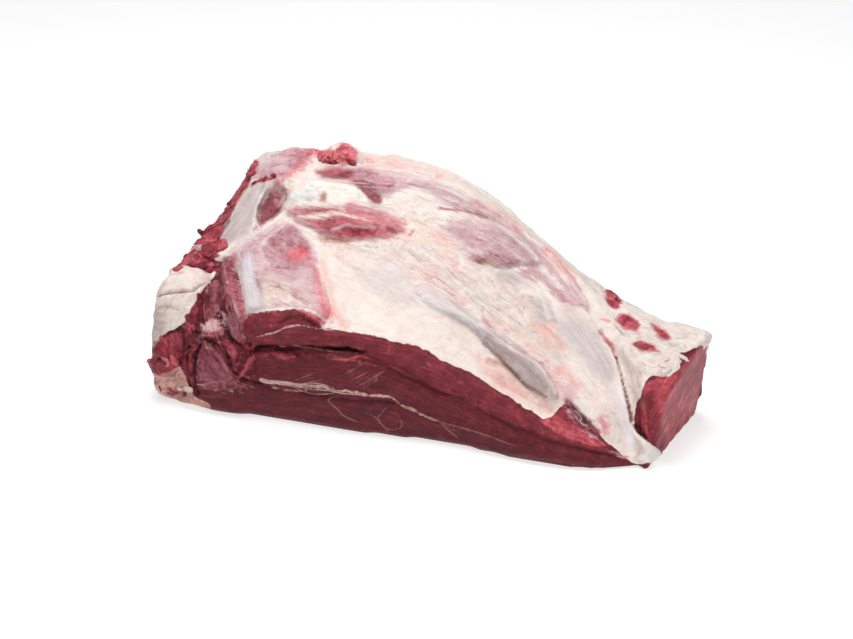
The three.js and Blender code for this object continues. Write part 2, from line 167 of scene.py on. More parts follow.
MARKS = [
    # The cover of fat over the whole top, which the other tissues lie on.
    area("fat cover", FAT, [(224, 234), (236, 204), (250, 174), (262, 140), (300, 130), (420, 130), (560, 230),
         (690, 300)] + EDGE_OF_THIN_END + TOP_EDGE_OF_CUT + [(318, 324), (306, 313), (290, 309), (270, 311),
         (250, 312), (243, 296), (238, 275), (230, 262), (221, 262), (214, 258)], tone=-0.1, lift=0.6, rim=3,
         web=0.35),
    line("drawn-in edge at the left", None, [(246, 164), (232, 186), (214, 210), (196, 232), (176, 260)], (5, 9, 7),
         lift=-6, rim=8),
    line("drawn-in edge at the top", None, [(244, 160), (266, 142), (296, 136), (320, 142)], (6, 14, 9), lift=-8,
         rim=8),
    line("drawn-in edge past the crest", None, [(350, 142), (364, 150), (386, 153)], 5, lift=-3, rim=8),
    line("full lower corner of the thin end", None, [(660, 456), (676, 442), (690, 424)], (3, 5, 3), lift=3, rim=8),
    line("drawn-in edge at the right", None, [(400, 150), (450, 165), (500, 197), (548, 240), (574, 262), (602, 286)],
         6, lift=-3, rim=8),
    line("drawn-in edge of the thick end", None, [(164, 272), (150, 296), (145, 326), (146, 356)], (5, 8, 5), lift=-5,
         rim=8),
    area("smooth fat above the cut", FAT, [(322, 250), (352, 248), (384, 262), (424, 290), (460, 318), (500, 354),
         (540, 392), (550, 408), (530, 404), (490, 380), (440, 352), (385, 333), (340, 324), (334, 304), (324, 276)],
         tone=-0.14, soft=12, web=0.15),
    area("duller fat by the flap", None, [(330, 246), (352, 247), (372, 256), (366, 268), (344, 266)], tone=-0.15,
         soft=14),
    # Painted shade: the left of the fat lump is made darker, as it is turned from the light.
    area("duller fat of the thick end", None, [(150, 298), (188, 294), (196, 318), (180, 334), (150, 330)], tone=-0.5,
         soft=14, warm=0.08),
    area("flush of the smooth fat", None, [(470, 352), (500, 366), (530, 390), (520, 398), (490, 378)], tone=-0.15,
         soft=10, warm=0.25),
    line("pink lower edge of the fat", None, [(400, 341), (440, 356), (480, 378), (520, 402), (550, 410)], 3.5,
         tone=-0.05, soft=7, warm=0.15),
    line("pink left edge of the fat", None, [(322, 262), (328, 284), (334, 306), (345, 326)], 3, tone=-0.05, soft=9,
         warm=0.5),
    # A greyer, darker patch on the smooth fat: painted shade.
    area("grey of the smooth fat", None, [(350, 262), (390, 276), (420, 300), (400, 306), (366, 286)], tone=-0.1,
         soft=12, warm=-0.25),
    line("tan of the smooth fat", None, [(488, 360), (506, 366), (524, 376)], 2.5, tone=-0.5, soft=6),
    area("fat lump of the thick end", FAT, [(146, 304), (150, 284), (164, 266), (178, 262), (192, 268), (212, 267),
         (215, 276), (205, 288), (196, 300), (190, 318), (180, 326), (166, 333), (152, 342), (146, 330), (152, 312)],
         tone=-0.15, lift=2, web=0.4),
    # The creases of the fat lump are grooves darkened with painted shade.
    line("crease of the fat lump", None, [(158, 297), (172, 293), (190, 292), (206, 285)], (0.8, 1.3, 0.5), tone=-0.25,
         lift=-3),
    line("second crease of the fat lump", None, [(170, 276), (184, 272), (200, 276)], 0.9, tone=-0.15, lift=-1.5),
    line("third crease of the fat lump", None, [(152, 312), (164, 306), (178, 310)], 0.9, tone=-0.15, lift=-1.5),
    # Painted shade on the left side of the fat lump, drawn in the grey of tendon.
    area("grey side of the fat lump", TENDON, [(146, 318), (156, 308), (164, 322), (162, 336), (150, 346)], tone=-0.1,
         soft=8),
    # Fat low on the thick end; much of its dark tone is painted shade near the table.
    area("lower fat of the thick end", FAT, [(150, 372), (162, 374), (178, 368), (185, 378), (189, 388), (196, 398),
         (210, 405), (202, 414), (184, 410), (166, 398), (152, 384)], tone=-0.85, lift=1, soft=5, web=0.5, warm=0.4),
    line("red in the lower fat", RAW, [(168, 388), (174, 393), (182, 392)], (2, 3, 1.5), tone=-0.5),
    area("fat in the fold", SKIN, [(203, 324), (210, 321), (219, 321), (221, 330), (212, 334), (205, 331)], tone=0.3,
         lift=1, soft=12, warm=0.3),

    # The hump over the thick end and the tendon strap below it.
    area("hump", SKIN, [(246, 172), (250, 154), (270, 140), (300, 136), (320, 146), (313, 158), (303, 166), (292, 172),
         (284, 179), (276, 184), (260, 178), (252, 178)], lift=0.5, soft=9, web=0.7, warm=-0.1),
    area("pale part of the hump", None, [(258, 166), (268, 158), (285, 157), (296, 160), (284, 168), (268, 172)],
         tone=0.3, soft=8),
    area("flushed part of the hump", None, [(280, 156), (296, 151), (312, 155), (300, 166), (288, 166)], tone=-0.2,
         soft=8),
    line("white bits of the hump", FAT, [(256, 162), (268, 152), (282, 147), (292, 149)], (1.6, 2.8, 1.6), tone=0.3,
         lift=1, soft=10, web=0.8),
    line("red bits of the hump", RAW, [(270, 148), (284, 143), (300, 144)], (1.4, 3, 1.6), tone=0.7, soft=8),
    line("red bits above the mound", RAW, [(300, 172), (306, 165), (312, 162)], 1.6, tone=0.5, soft=7),
    line("mottled lower edge of the hump", RAW, [(276, 182), (288, 176), (298, 166), (306, 160)], (1.6, 3.2, 2),
         tone=0.35, soft=12),
    line("mottled top of the hump", RAW, [(282, 153), (296, 151), (310, 154)], 1.6, tone=0.2, soft=10),
    area("tendon strap", TENDON, [(262, 182), (270, 183), (264, 196), (258, 212), (252, 228), (240, 239), (226, 244),
         (222, 234), (230, 216), (242, 196), (252, 186)], lift=1.5, soft=5, web=0.1, warm=-0.2),
    # A raised edge of the strap, made paler with a painted highlight.
    line("bright edge of the strap", TENDON, [(268, 184), (262, 196), (257, 212), (253, 226)], 1.8, tone=0.7, lift=1),
    area("muscle beside the strap", SKIN, [(256, 224), (259, 208), (264, 197), (270, 190), (278, 184), (284, 190),
         (284, 204), (278, 214), (264, 225), (254, 230)], tone=-0.9, lift=-3.5, soft=8, web=0.5),
    area("pink upper side of that muscle", None, [(272, 188), (280, 184), (286, 192), (285, 206), (277, 208),
         (272, 198)], tone=0.55, soft=6),
    line("lilac lower side of that muscle", None, [(280, 216), (270, 222), (260, 227)], 1.6, tone=0.6, soft=4),
    line("shadow beside the strap", None, [(262, 200), (258, 214), (256, 228)], 1.4, tone=-0.5, lift=-2),
    line("red rim of the hump", RAW, [(250, 186), (258, 181), (266, 179), (275, 178)], (1.6, 3.2, 1.8), tone=-0.35,
         lift=-1),
    line("torn rim over the strap", RAW, [(254, 164), (247, 178), (238, 193), (229, 207), (219, 219), (210, 230)],
         (4.5, 5, 5), tone=-0.25, lift=1),
    area("torn lumps beside the fat", RAW, [(206, 230), (214, 226), (222, 226), (222, 236), (215, 246), (221, 256),
         (213, 262), (214, 270), (204, 273), (196, 266), (186, 263), (177, 270), (176, 260), (190, 251), (200, 243)],
         tone=-0.35, lift=2),
    line("white between the torn lumps", FAT, [(186, 254), (200, 250), (206, 243)], (1.5, 2.4, 1)),

    # The fat mound, the long ridge muscle and the spindle muscle.
    area("fat mound", None, [(288, 190), (302, 174), (322, 180), (345, 184), (366, 196), (352, 204), (330, 212),
         (300, 208)], tone=0.7, lift=2.5, rim=9, soft=9, web=0.8),
    area("fluffy slope of the hump", None, [(262, 182), (284, 176), (306, 164), (316, 168), (300, 184), (284, 196),
         (270, 192)], tone=0.05, soft=8, web=0.8, warm=0.1),
    # The mound's creases and dimple are grooves darkened with painted shade.
    line("first crease of the mound", None, [(300, 186), (312, 190), (322, 188)], 1.2, tone=-0.3, lift=-1.5),
    line("second crease of the mound", None, [(326, 188), (338, 194), (350, 192)], 1.2, tone=-0.25, lift=-1.5),
    line("dimple in the mound", None, [(302, 204), (316, 202), (330, 206)], 2, tone=-0.3, lift=-1.5),
    area("brown pit", FAT, [(320, 196), (324, 194), (327, 197), (325, 201), (321, 201)], tone=-1, lift=-2.5, soft=4,
         warm=-0.1),
    area("crest", RAW, [(311, 148), (325, 149), (337, 147), (344, 141), (356, 148), (359, 156), (353, 162), (342, 166),
         (330, 163), (318, 159)], tone=0.75, lift=1.5, soft=4),
    # The crest's underside is raw meat made darker with painted shade.
    line("crest underside", RAW, [(320, 160), (332, 164), (346, 165)], 1.3, tone=-0.9, lift=-1.5),
    area("ridge muscle", SKIN, [(316, 171), (330, 167), (350, 166), (378, 169), (408, 174), (438, 183), (466, 195),
         (492, 209), (518, 229), (542, 248), (560, 264), (578, 290), (588, 310), (575, 304), (560, 288), (545, 270),
         (528, 250), (508, 232), (485, 217), (462, 210), (444, 205), (430, 192), (410, 186), (398, 190), (388, 197),
         (372, 190), (362, 185), (348, 181), (330, 179), (318, 176)], tone=0.2, lift=3.5, soft=10, web=0.55,
         warm=-0.1),
    area("red start of the ridge muscle", None, [(318, 171), (336, 168), (352, 172), (345, 179), (322, 178)],
         tone=-0.8, soft=8),
    line("red fibres of the ridge muscle", RAW, [(318, 174), (336, 171), (354, 176)], (1.2, 2.6, 1), tone=0.2, soft=9),
    area("dark start of the ridge muscle", None, [(340, 170), (370, 172), (392, 180), (388, 192), (362, 186),
         (342, 180)], tone=-0.35, soft=12),
    line("dark line on the ridge muscle", None, [(350, 180), (372, 184), (392, 187)], 1.2, tone=-0.25, lift=-0.8),
    line("red streak by the ridge muscle", SKIN, [(440, 208), (456, 211), (470, 212), (486, 217)], 1.6, tone=-0.5),
    line("pink streak of the ridge", None, [(476, 202), (500, 222), (520, 238)], 2.6, tone=-0.2, soft=5),
    line("pale thread by the ridge", FAT, [(486, 213), (510, 232), (532, 254), (552, 276), (566, 296)],
         (0.8, 1.4, 0.8), tone=0.3, lift=1, soft=5),
    line("second pale thread", FAT, [(520, 226), (540, 246), (558, 268), (572, 292)], (0.6, 1.1, 0.6), tone=0.1,
         lift=0.6, soft=5),
    area("dark notch of the ridge muscle", SKIN, [(356, 184), (366, 186), (374, 191), (381, 197), (380, 204),
         (373, 204), (368, 197), (360, 191)], tone=-0.75, lift=-2, soft=5, web=0.3),
    area("spindle muscle", SKIN, [(288, 212), (310, 207), (340, 207), (352, 203), (368, 207), (388, 213), (402, 221),
         (404, 231), (396, 236), (376, 240), (350, 241), (328, 236), (312, 228), (296, 221)], tone=-0.2, lift=2.5,
         soft=9, web=0.7, warm=0.4),
    area("red side of the spindle", None, [(318, 222), (340, 219), (372, 225), (386, 232), (366, 239), (344, 239),
         (326, 232)], tone=-0.4, soft=7),
    line("red fibres of the spindle", RAW, [(318, 226), (350, 223), (386, 231)], (2, 4, 2), tone=0.2, soft=12),
    line("upper red of the spindle", RAW, [(344, 211), (366, 216), (384, 222)], (1, 2.4, 1), tone=0.35, soft=10),
    area("deep red of the spindle", RAW, [(342, 231), (354, 228), (378, 231), (370, 236), (350, 237)], tone=-0.45,
         lift=-2),
    line("upper edge of the deep red", SKIN, [(332, 229), (350, 225), (376, 228)], 1.2, tone=0.1, lift=1.5),
    line("fat across the spindle", FAT, [(300, 217), (320, 215), (345, 213)], (1, 2, 1), soft=6),
    line("second fat across the spindle", FAT, [(330, 212), (350, 215), (372, 221)], (0.6, 1, 0.6), soft=6),
    line("small dark nick", SKIN, [(410, 234), (414, 230)], 1.2, tone=-0.5),
    line("dark knot by the spindle", SKIN, [(388, 229), (396, 233)], 1.8, tone=-0.9, lift=-1),
    area("flush under the spindle", None, [(320, 236), (350, 240), (340, 244), (322, 242)], tone=-0.6, soft=6),

    # The flap at the left of the cut face.
    area("silverskin of the flap", SKIN, [(228, 258), (244, 244), (264, 232), (284, 223), (300, 230), (312, 246),
         (318, 266), (322, 286), (330, 306), (326, 318), (308, 311), (288, 306), (270, 309), (250, 309), (244, 292),
         (240, 272)], tone=0.1, lift=2, soft=8, web=0.4, warm=-0.2),
    area("round muscle of the flap", None, [(262, 244), (268, 232), (280, 225), (294, 226), (304, 236), (310, 248),
         (311, 260), (300, 268), (284, 272), (268, 268), (262, 256)], tone=-0.3, soft=7, web=0.15),
    line("pale rim of the round muscle", SKIN, [(268, 264), (261, 254), (263, 243), (270, 234), (282, 226)],
         (0.5, 0.9, 0.5), tone=0.4, soft=3, warm=-0.1),
    area("lilac of the flap", None, [(268, 272), (290, 270), (308, 266), (314, 280), (300, 284), (280, 280)],
         tone=0.05, soft=8),
    area("fat of the flap", FAT, [(264, 278), (278, 280), (292, 286), (304, 292), (314, 302), (304, 306), (286, 304),
         (268, 306), (262, 294)], tone=-0.35, lift=0.8, soft=16, web=0.6, warm=0.15),
    line("rounded lower edge of the flap", FAT, [(266, 307), (284, 305), (300, 307), (314, 313)], (0.8, 1.8, 1),
         tone=0.3, lift=1.2, soft=6),
    # A fold darkened with painted shade.
    line("fold in the flap's fat", None, [(266, 284), (280, 288), (296, 298), (308, 306)], 1.4, tone=-0.2, lift=-1.5),
    line("lump in the flap's fat", None, [(272, 296), (282, 294), (290, 299)], 3, tone=0.2, lift=1.5),
    area("bright red of the flap", RAW, [(282, 256), (292, 248), (302, 244), (309, 250), (310, 258), (298, 263),
         (288, 261)], tone=0.2, soft=10),
    line("red rim of the flap", RAW, [(311, 262), (317, 276), (319, 290), (324, 302), (330, 316)], (2, 3.6, 6.5),
         tone=0.8, soft=14),
    area("blue side of the flap", TENDON, [(240, 264), (246, 254), (253, 257), (254, 270), (256, 283), (262, 298),
         (268, 309), (258, 310), (249, 309), (244, 296), (241, 280)], tone=0.7, lift=1.2, soft=11, warm=-0.35),
    # A crease darkened with painted shade.
    line("crease of the flap", None, [(255, 272), (257, 284), (264, 299)], (0.5, 1.3, 0.6), tone=-0.6, lift=-2.5),
    area("left side of the flap", SKIN, [(220, 262), (230, 257), (238, 268), (241, 290), (246, 312), (247, 334),
         (238, 326), (228, 304), (221, 284)], tone=-0.72, lift=1.5, soft=9, web=0.6),
    line("streak down the flap's side", RAW, [(228, 262), (231, 282), (236, 302)], (1, 2.4, 1), tone=-0.1, soft=6),
    line("second streak down the flap's side", RAW, [(238, 280), (241, 300), (245, 326)], (1, 2.4, 1.6), tone=-0.1,
         soft=6),
    line("pale edge of the flap's side", SKIN, [(224, 262), (226, 280), (233, 300), (241, 322)], (0.5, 1, 0.5),
         tone=-0.25, lift=0.8),

    # Blue tendon, webbed fat and membranes on the slope.
    area("webbed fat", None, [(395, 205), (440, 215), (470, 268), (520, 286), (556, 320), (566, 360), (556, 390),
         (520, 345), (470, 310), (420, 285), (370, 255), (330, 246), (380, 238)], tone=0.25, lift=1, rim=9, soft=12,
         web=0.9, warm=0.2),
    area("webbed fat of the crown", None, [(350, 205), (400, 192), (440, 205), (450, 225), (410, 225), (380, 212)],
         tone=0.15, soft=10, web=0.8),
    area("streaky outer fat", None, [(360, 150), (440, 166), (520, 222), (580, 278), (560, 276), (500, 212),
         (430, 178), (380, 164)], tone=0.25, soft=8, web=0.5, warm=0.15),
    area("second muscle", SKIN, [(440, 226), (462, 221), (486, 222), (506, 231), (522, 243), (534, 257), (537, 266),
         (520, 265), (504, 267), (488, 262), (476, 262), (466, 252), (454, 240)], tone=0.1, lift=3.5, soft=13, web=0.6,
         warm=-0.1),
    area("dark of the second muscle", None, [(472, 258), (492, 254), (512, 257), (520, 264), (498, 266)], tone=-0.45,
         soft=7),
    line("shadow under the second muscle", None, [(470, 258), (482, 263), (500, 268), (520, 266)], 1.4, tone=-0.3,
         lift=-1.5),
    area("muscle after the second", SKIN, [(518, 272), (530, 268), (544, 276), (541, 281), (526, 278)], lift=1.5,
         soft=8, web=0.6),
    area("last of the second muscle", SKIN, [(540, 279), (550, 281), (562, 289), (574, 299), (582, 308), (566, 305),
         (554, 294), (545, 287)], tone=-0.05, lift=1.5, soft=9, web=0.6),
    area("grey patch of the web", TENDON, [(494, 268), (514, 270), (526, 280), (516, 288), (502, 281)], soft=11),
    area("lower grey patch", TENDON, [(528, 298), (546, 301), (558, 318), (545, 324), (534, 311)], soft=9),
    line("web over the grey patches", FAT, [(496, 270), (512, 267), (540, 284), (552, 300), (556, 316)],
         (0.6, 1.1, 0.6), tone=0.4, lift=0.4, soft=4),
    line("web, second thread", FAT, [(512, 294), (532, 293), (544, 302), (550, 318)], (0.6, 1, 0.6), tone=0.1,
         lift=0.4, soft=4),
    area("blue tendon", TENDON, [(424, 298), (440, 300), (456, 311), (478, 324), (498, 335), (514, 344), (530, 356),
         (543, 370), (552, 384), (558, 397), (550, 396), (536, 390), (524, 383), (511, 370), (500, 358), (486, 346),
         (470, 331), (450, 318), (434, 308)], tone=-0.02, lift=3, soft=8, web=0.5, warm=-0.25),
    # A painted highlight along the top of the tendon.
    line("light back of the tendon", None, [(446, 306), (474, 324), (502, 342), (528, 356), (546, 374)], (1, 3, 2),
         tone=0.45, soft=5),
    area("grey before the tendon", TENDON, [(376, 262), (392, 264), (412, 280), (436, 292), (452, 304), (440, 308),
         (420, 300), (400, 284), (384, 274)], tone=0.8, soft=14, web=0.6),
    # Painted shade on the tendon's lower side.
    line("dark belly of the tendon", None, [(488, 338), (510, 354), (530, 370), (545, 386)], (2, 5, 3), tone=-0.35,
         soft=8),
    line("shadow under the blue tendon", None, [(484, 344), (500, 358), (514, 372), (530, 387), (545, 397)], 1.4,
         tone=-0.5, lift=-2.5),
    line("red thread of the tendon", SKIN, [(482, 310), (488, 326), (504, 341), (524, 353), (540, 364), (551, 379)],
         (1, 2, 1.4), tone=-0.3, soft=5),
    area("flushed fat", None, [(540, 326), (556, 320), (568, 330), (570, 348), (554, 350), (542, 338)], tone=0.1,
         soft=12, warm=0.4),
    area("flushed fat by the tendon", None, [(552, 372), (566, 366), (580, 384), (576, 398), (560, 400)], soft=12,
         web=0.6, warm=0.45),
    area("grey membrane", TENDON, [(556, 322), (572, 318), (592, 328), (604, 342), (613, 360), (616, 380), (604, 378),
         (592, 368), (578, 354), (566, 340)], tone=0.3, lift=-0.5, soft=14, web=0.5),
    line("grey of the sheet", TENDON, [(616, 384), (620, 402), (624, 424), (630, 446)], (2, 4, 4), tone=0.9, soft=8),
    area("edge fat of the slope", None, [(480, 368), (520, 384), (556, 404), (548, 414), (520, 402), (490, 384)],
         tone=-0.2, soft=8, warm=0.1),
    area("frayed end of the tendon", SKIN, [(564, 402), (570, 400), (579, 411), (591, 421), (600, 433), (595, 438),
         (585, 431), (576, 421), (569, 412)], tone=-0.75, lift=-2.5, soft=4, web=1),
    line("white fray", FAT, [(568, 404), (578, 418), (590, 430)], (0.3, 0.6, 0.3), tone=0.2, lift=1),
    line("second white fray", FAT, [(574, 402), (584, 414), (597, 428)], (0.3, 0.6, 0.3), tone=0.2, lift=1),
    area("mauve above the frayed end", SKIN, [(557, 380), (566, 376), (571, 386), (573, 399), (564, 399)], tone=0.2,
         soft=10),
    area("flushed corner fat", RAW, [(598, 418), (604, 416), (609, 424), (608, 437), (601, 434)], tone=0.5, soft=12),
    line("grey at the corner", SKIN, [(606, 450), (618, 455), (628, 457)], (0.8, 1.5, 0.8), tone=-0.4),
    # The slit is darkened with painted shade.
    line("slit at the thin end", None, [(616, 358), (623, 382), (627, 400), (631, 422)], (0.4, 0.8, 1.4), tone=-2,
         lift=-6),
    line("edge of the sheet", None, [(604, 336), (612, 356), (619, 380), (624, 404), (632, 430), (644, 444)], 2.2,
         tone=0.3, lift=1.5, soft=4),

    # Red patches in the fat of the thin end, and its cut face.
    area("fat of the thin end", None, [(606, 310), (640, 326), (680, 345), (676, 366), (650, 374), (628, 356),
         (614, 330)], tone=0.1, lift=1, rim=8, soft=8, web=0.8),
    area("first red patch", RAW, [(604, 288), (612, 287), (620, 294), (623, 302), (616, 310), (608, 304)], tone=-0.2,
         lift=-1.5, soft=4),
    area("second red patch", RAW, [(616, 318), (624, 313), (634, 316), (640, 324), (636, 333), (627, 330), (620, 327)],
         tone=-0.25, lift=-1.5, soft=4),
    line("tail of the second patch", RAW, [(630, 328), (638, 334), (643, 339)], 1.2, tone=0.1, lift=-1, soft=6),
    area("third red patch", RAW, [(632, 344), (641, 340), (652, 343), (661, 351), (648, 352), (638, 350)], tone=-0.25,
         lift=-1.5, soft=4),
    area("fourth red patch", RAW, [(650, 322), (660, 325), (671, 335), (668, 341), (658, 338)], tone=-0.15, lift=-1,
         soft=5),
    line("fifth red patch", RAW, [(600, 332), (606, 340), (612, 348), (617, 360)], (2.4, 2.6, 1), tone=-0.1, lift=-1.5,
         soft=4),
    line("small red patch", RAW, [(601, 319), (612, 321)], 1.6, tone=0.5),
    area("shaded side of the thin end", None, [(634, 402), (644, 400), (647, 418), (646, 438), (634, 430)], tone=0.3,
         lift=-2),
    # Painted shade in the hollow of the thin end.
    line("dark hollow of the thin end", None, [(634, 426), (640, 434), (646, 438)], (1.5, 3, 1), tone=-1.2, lift=-3),
    area("face of the thin end", None, [(642, 395), (656, 377), (680, 366), (700, 346), (712, 348), (702, 385),
         (692, 418), (672, 446), (655, 462), (644, 458)], tone=0.58),
    area("dark lower left of the end", None, [(640, 400), (652, 396), (660, 420), (664, 448), (652, 462), (640, 456)],
         tone=-0.25, soft=12),
    area("pale upper side of the end", None, [(672, 374), (700, 350), (706, 372), (690, 392), (676, 388)], tone=-0.06,
         soft=10),
    line("lip under the end", FAT, [(640, 458), (650, 459), (660, 455)], (2, 3, 1), tone=0.1),

    # Small red spots in the outer fat.
    area("spot by the ridge", RAW, [(434, 175), (440, 174), (444, 178), (438, 179)], tone=1.1, soft=8),
    line("spots by the crest", RAW, [(368, 159), (374, 162)], 1.5, tone=1.1, soft=6),
    line("spots past the ridge", RAW, [(547, 251), (553, 255)], 1.5, tone=1, soft=6),
    area("flush past the crest", None, [(356, 158), (372, 155), (396, 160), (420, 168), (400, 170), (370, 166)],
         tone=-0.05, soft=9, web=0.5, warm=0.25),
    area("flush over the spindle", None, [(292, 200), (306, 204), (330, 208), (318, 214), (296, 212)], tone=-0.05,
         soft=8, warm=0.2),
    line("flush of the outer fat", None, [(478, 204), (500, 214), (520, 232)], 3, tone=-0.1, soft=8, warm=0.45),
    line("lower flush of the outer fat", None, [(546, 250), (562, 264), (572, 276)], 3, tone=-0.1, soft=8, warm=0.45),

    # The long cut face: the upper band, the muscle below it and the lowest muscle.
    area("upper band", None, [(243, 333), (300, 325), (345, 327), (385, 334), (432, 347), (474, 369), (520, 397),
         (552, 413), (600, 440), (622, 456), (600, 452), (560, 441), (514, 424), (470, 405), (430, 384), (400, 366),
         (370, 357), (340, 350), (300, 346), (262, 347), (248, 350)], tone=0.25, lift=1.5),
    area("bright end of the band", None, [(540, 420), (556, 412), (568, 408), (590, 432), (606, 446), (570, 440)],
         tone=0.4, web=0.4),
    line("torn red edge of the band", RAW, [(548, 420), (560, 428), (576, 438), (598, 444)], (1, 3.5, 1), tone=-0.2,
         soft=4),
    area("cut front of the flap", LEAN, [(243, 338), (246, 318), (262, 312), (290, 310), (310, 315), (322, 325),
         (300, 328), (270, 334)], tone=0.22, lift=2.5, rim=3),
    # Painted shade under the flap's front, then a painted highlight along its edge.
    line("dark under the flap's front", None, [(280, 322), (300, 318), (318, 325)], 1.4, tone=-0.4, lift=-1.5),
    line("bright edge of the flap's front", RAW, [(300, 311), (312, 315), (324, 323)], (1.5, 3, 1.8), lift=1),
    line("fat under the flap", FAT, [(256, 336), (272, 333), (290, 327), (310, 326), (332, 330)], (0.3, 0.7, 0.3),
         tone=-1, lift=-0.6, soft=4),
    # The crevice, the wide crevice and the two seams after it are grooves darkened with painted shade.
    line("crevice under the band", None, [(252, 352), (262, 345), (285, 349), (305, 347), (335, 348), (352, 350),
         (366, 353)], (1.6, 1.5, 1), tone=-1, lift=-4),
    line("wide crevice", None, [(330, 348), (345, 349), (360, 351)], (0.8, 2.4, 0.8), tone=-0.8, lift=-3),
    line("seam after the crevice", None, [(366, 355), (380, 362), (400, 374), (420, 383), (440, 392), (462, 398)],
         (0.8, 1.2, 0.8), tone=-0.3, lift=-2),
    line("seam along the middle muscle", None, [(462, 399), (500, 420), (540, 438), (580, 449), (612, 456)], 0.9,
         tone=-0.2, lift=-1.2),
    # A raised edge along the seam, made paler with a painted highlight.
    line("bright edge of the seam", None, [(330, 355), (346, 359), (362, 357), (384, 364), (410, 376)], 1.2, tone=0.5,
         lift=1),
    line("torn strip in the crevice", RAW, [(258, 353), (272, 354), (284, 356), (296, 356)], (2, 4.5, 1.5), tone=-0.35,
         lift=3.5),
    line("red lip of the crevice", RAW, [(302, 356), (322, 355), (340, 358), (358, 362), (376, 366)], (0.8, 1.8, 1),
         tone=-0.45, lift=1),
    line("fascia", FAT, [(262, 380), (285, 383), (312, 386), (340, 391), (366, 395), (392, 398)], (2, 1.2, 1),
         tone=-0.9, soft=4),
    line("fascia of the left", FAT, [(272, 387), (288, 391), (306, 390)], (0.8, 1.2, 0.5), tone=-1, soft=4),
    line("fascia, thin end of it", FAT, [(392, 398), (408, 408), (424, 416), (440, 422)], (0.9, 0.9, 0.5), tone=-1,
         soft=4),
    line("shadow under the fascia", None, [(262, 386), (310, 394), (352, 400), (394, 403)], 1, tone=-0.3, lift=-1.5),
    area("middle muscle", None, [(262, 352), (330, 356), (400, 380), (480, 418), (440, 412), (380, 392), (300, 380),
         (262, 376)], tone=0.02, lift=1.5, rim=8),
    area("dark middle", None, [(380, 372), (420, 384), (470, 406), (520, 430), (480, 424), (420, 402)], tone=0.05,
         soft=8),
    # Silverskin on the left face of the lowest muscle; part of its paleness is painted sheen.
    area("left face of the lowest muscle", SKIN, [(198, 352), (212, 344), (226, 356), (238, 380), (250, 384),
         (230, 388), (204, 384)], tone=-0.85, lift=3, soft=14, web=0.3),
    area("lowest muscle", None, [(204, 388), (262, 388), (330, 396), (400, 404), (500, 436), (600, 462), (520, 456),
         (400, 438), (300, 424), (210, 408)], tone=-0.08, lift=1.5, rim=8),

    # Folds of the thick end.
    line("red strip beside the fat lump", RAW, [(204, 294), (197, 306), (190, 320), (184, 334)], (2.5, 4, 4),
         tone=-0.55, lift=1.5),
    area("ragged red of the thick end", RAW, [(154, 348), (164, 336), (178, 331), (186, 340), (182, 358), (176, 370),
         (160, 375), (152, 368)], tone=-0.45, lift=2, soft=4),
    # The dark folds of the thick end are grooves darkened with painted shade.
    line("deep fold", None, [(196, 331), (208, 339), (217, 346), (226, 357), (234, 370), (244, 379), (262, 384)],
         (0.8, 1.7, 0.8), tone=-0.85, lift=-3),
    # A painted highlight along the lip of the deep fold.
    line("pale lip of the deep fold", None, [(204, 346), (214, 352), (224, 364), (232, 377)], 1, tone=0.5, lift=1.5),
    # Painted shade in this fold.
    line("fold by the flap", None, [(225, 318), (229, 332), (236, 342)], 1.1, tone=-0.9, lift=-4),
    area("grey band by the flap", SKIN, [(227, 316), (233, 312), (240, 328), (243, 342), (236, 340), (230, 328)],
         tone=-0.6, lift=1),
    # Painted shade in the inner folds.
    line("inner fold", None, [(240, 344), (238, 353), (236, 362)], 1.2, tone=-1, lift=-4),
    line("second inner fold", None, [(247, 338), (250, 346), (251, 354)], 1, tone=-0.9, lift=-4),
    line("inner band of the fold", RAW, [(242, 340), (252, 350), (250, 362), (244, 372), (238, 379)], (1.4, 2.6, 1.6),
         tone=-0.15, lift=2, soft=6, web=0.3),
    line("inner band, its other side", RAW, [(226, 340), (231, 354), (236, 368), (238, 378)], (1, 2, 1.2), tone=-0.3,
         lift=1.5, soft=6, web=0.3),
    line("pink lip of the fold", RAW, [(250, 356), (246, 366), (240, 376)], (1, 2.4, 1), tone=0.05, lift=2, soft=5),
    # Painted shade in the outer folds.
    line("outer fold", None, [(201, 346), (195, 360), (193, 378), (198, 394)], 1.3, tone=-0.8, lift=-4),
    line("outermost fold", None, [(189, 348), (186, 366), (190, 386)], 1.1, tone=-0.7, lift=-4),
    line("strip between the folds", RAW, [(194, 346), (190, 362), (193, 384)], (1.5, 2.4, 1.2), tone=-0.45, lift=2),
    # Painted shade in this fold.
    line("fold under the torn lumps", None, [(182, 330), (184, 345), (180, 364)], 1.1, tone=-0.7, lift=-3),
    area("grey muscle of the fold", SKIN, [(208, 286), (218, 282), (223, 290), (221, 304), (215, 316), (206, 318),
         (203, 306)], tone=-0.7, lift=1.5, web=0.4),
    line("dark mottle of the grey muscle", None, [(207, 296), (208, 306)], 2, tone=-0.6, soft=4),
    line("sinew in the fold", SKIN, [(221, 312), (225, 318), (222, 324)], (0.8, 1.2, 0.8), tone=0.1, lift=1),
    line("red under the fold's fat", RAW, [(204, 334), (214, 335), (222, 330)], (1, 2.4, 1.2), tone=0.1),
    area("tongue between the folds", RAW, [(222, 342), (236, 342), (240, 352), (236, 370), (228, 352)], tone=-0.25,
         lift=2, soft=12, web=0.3),
]

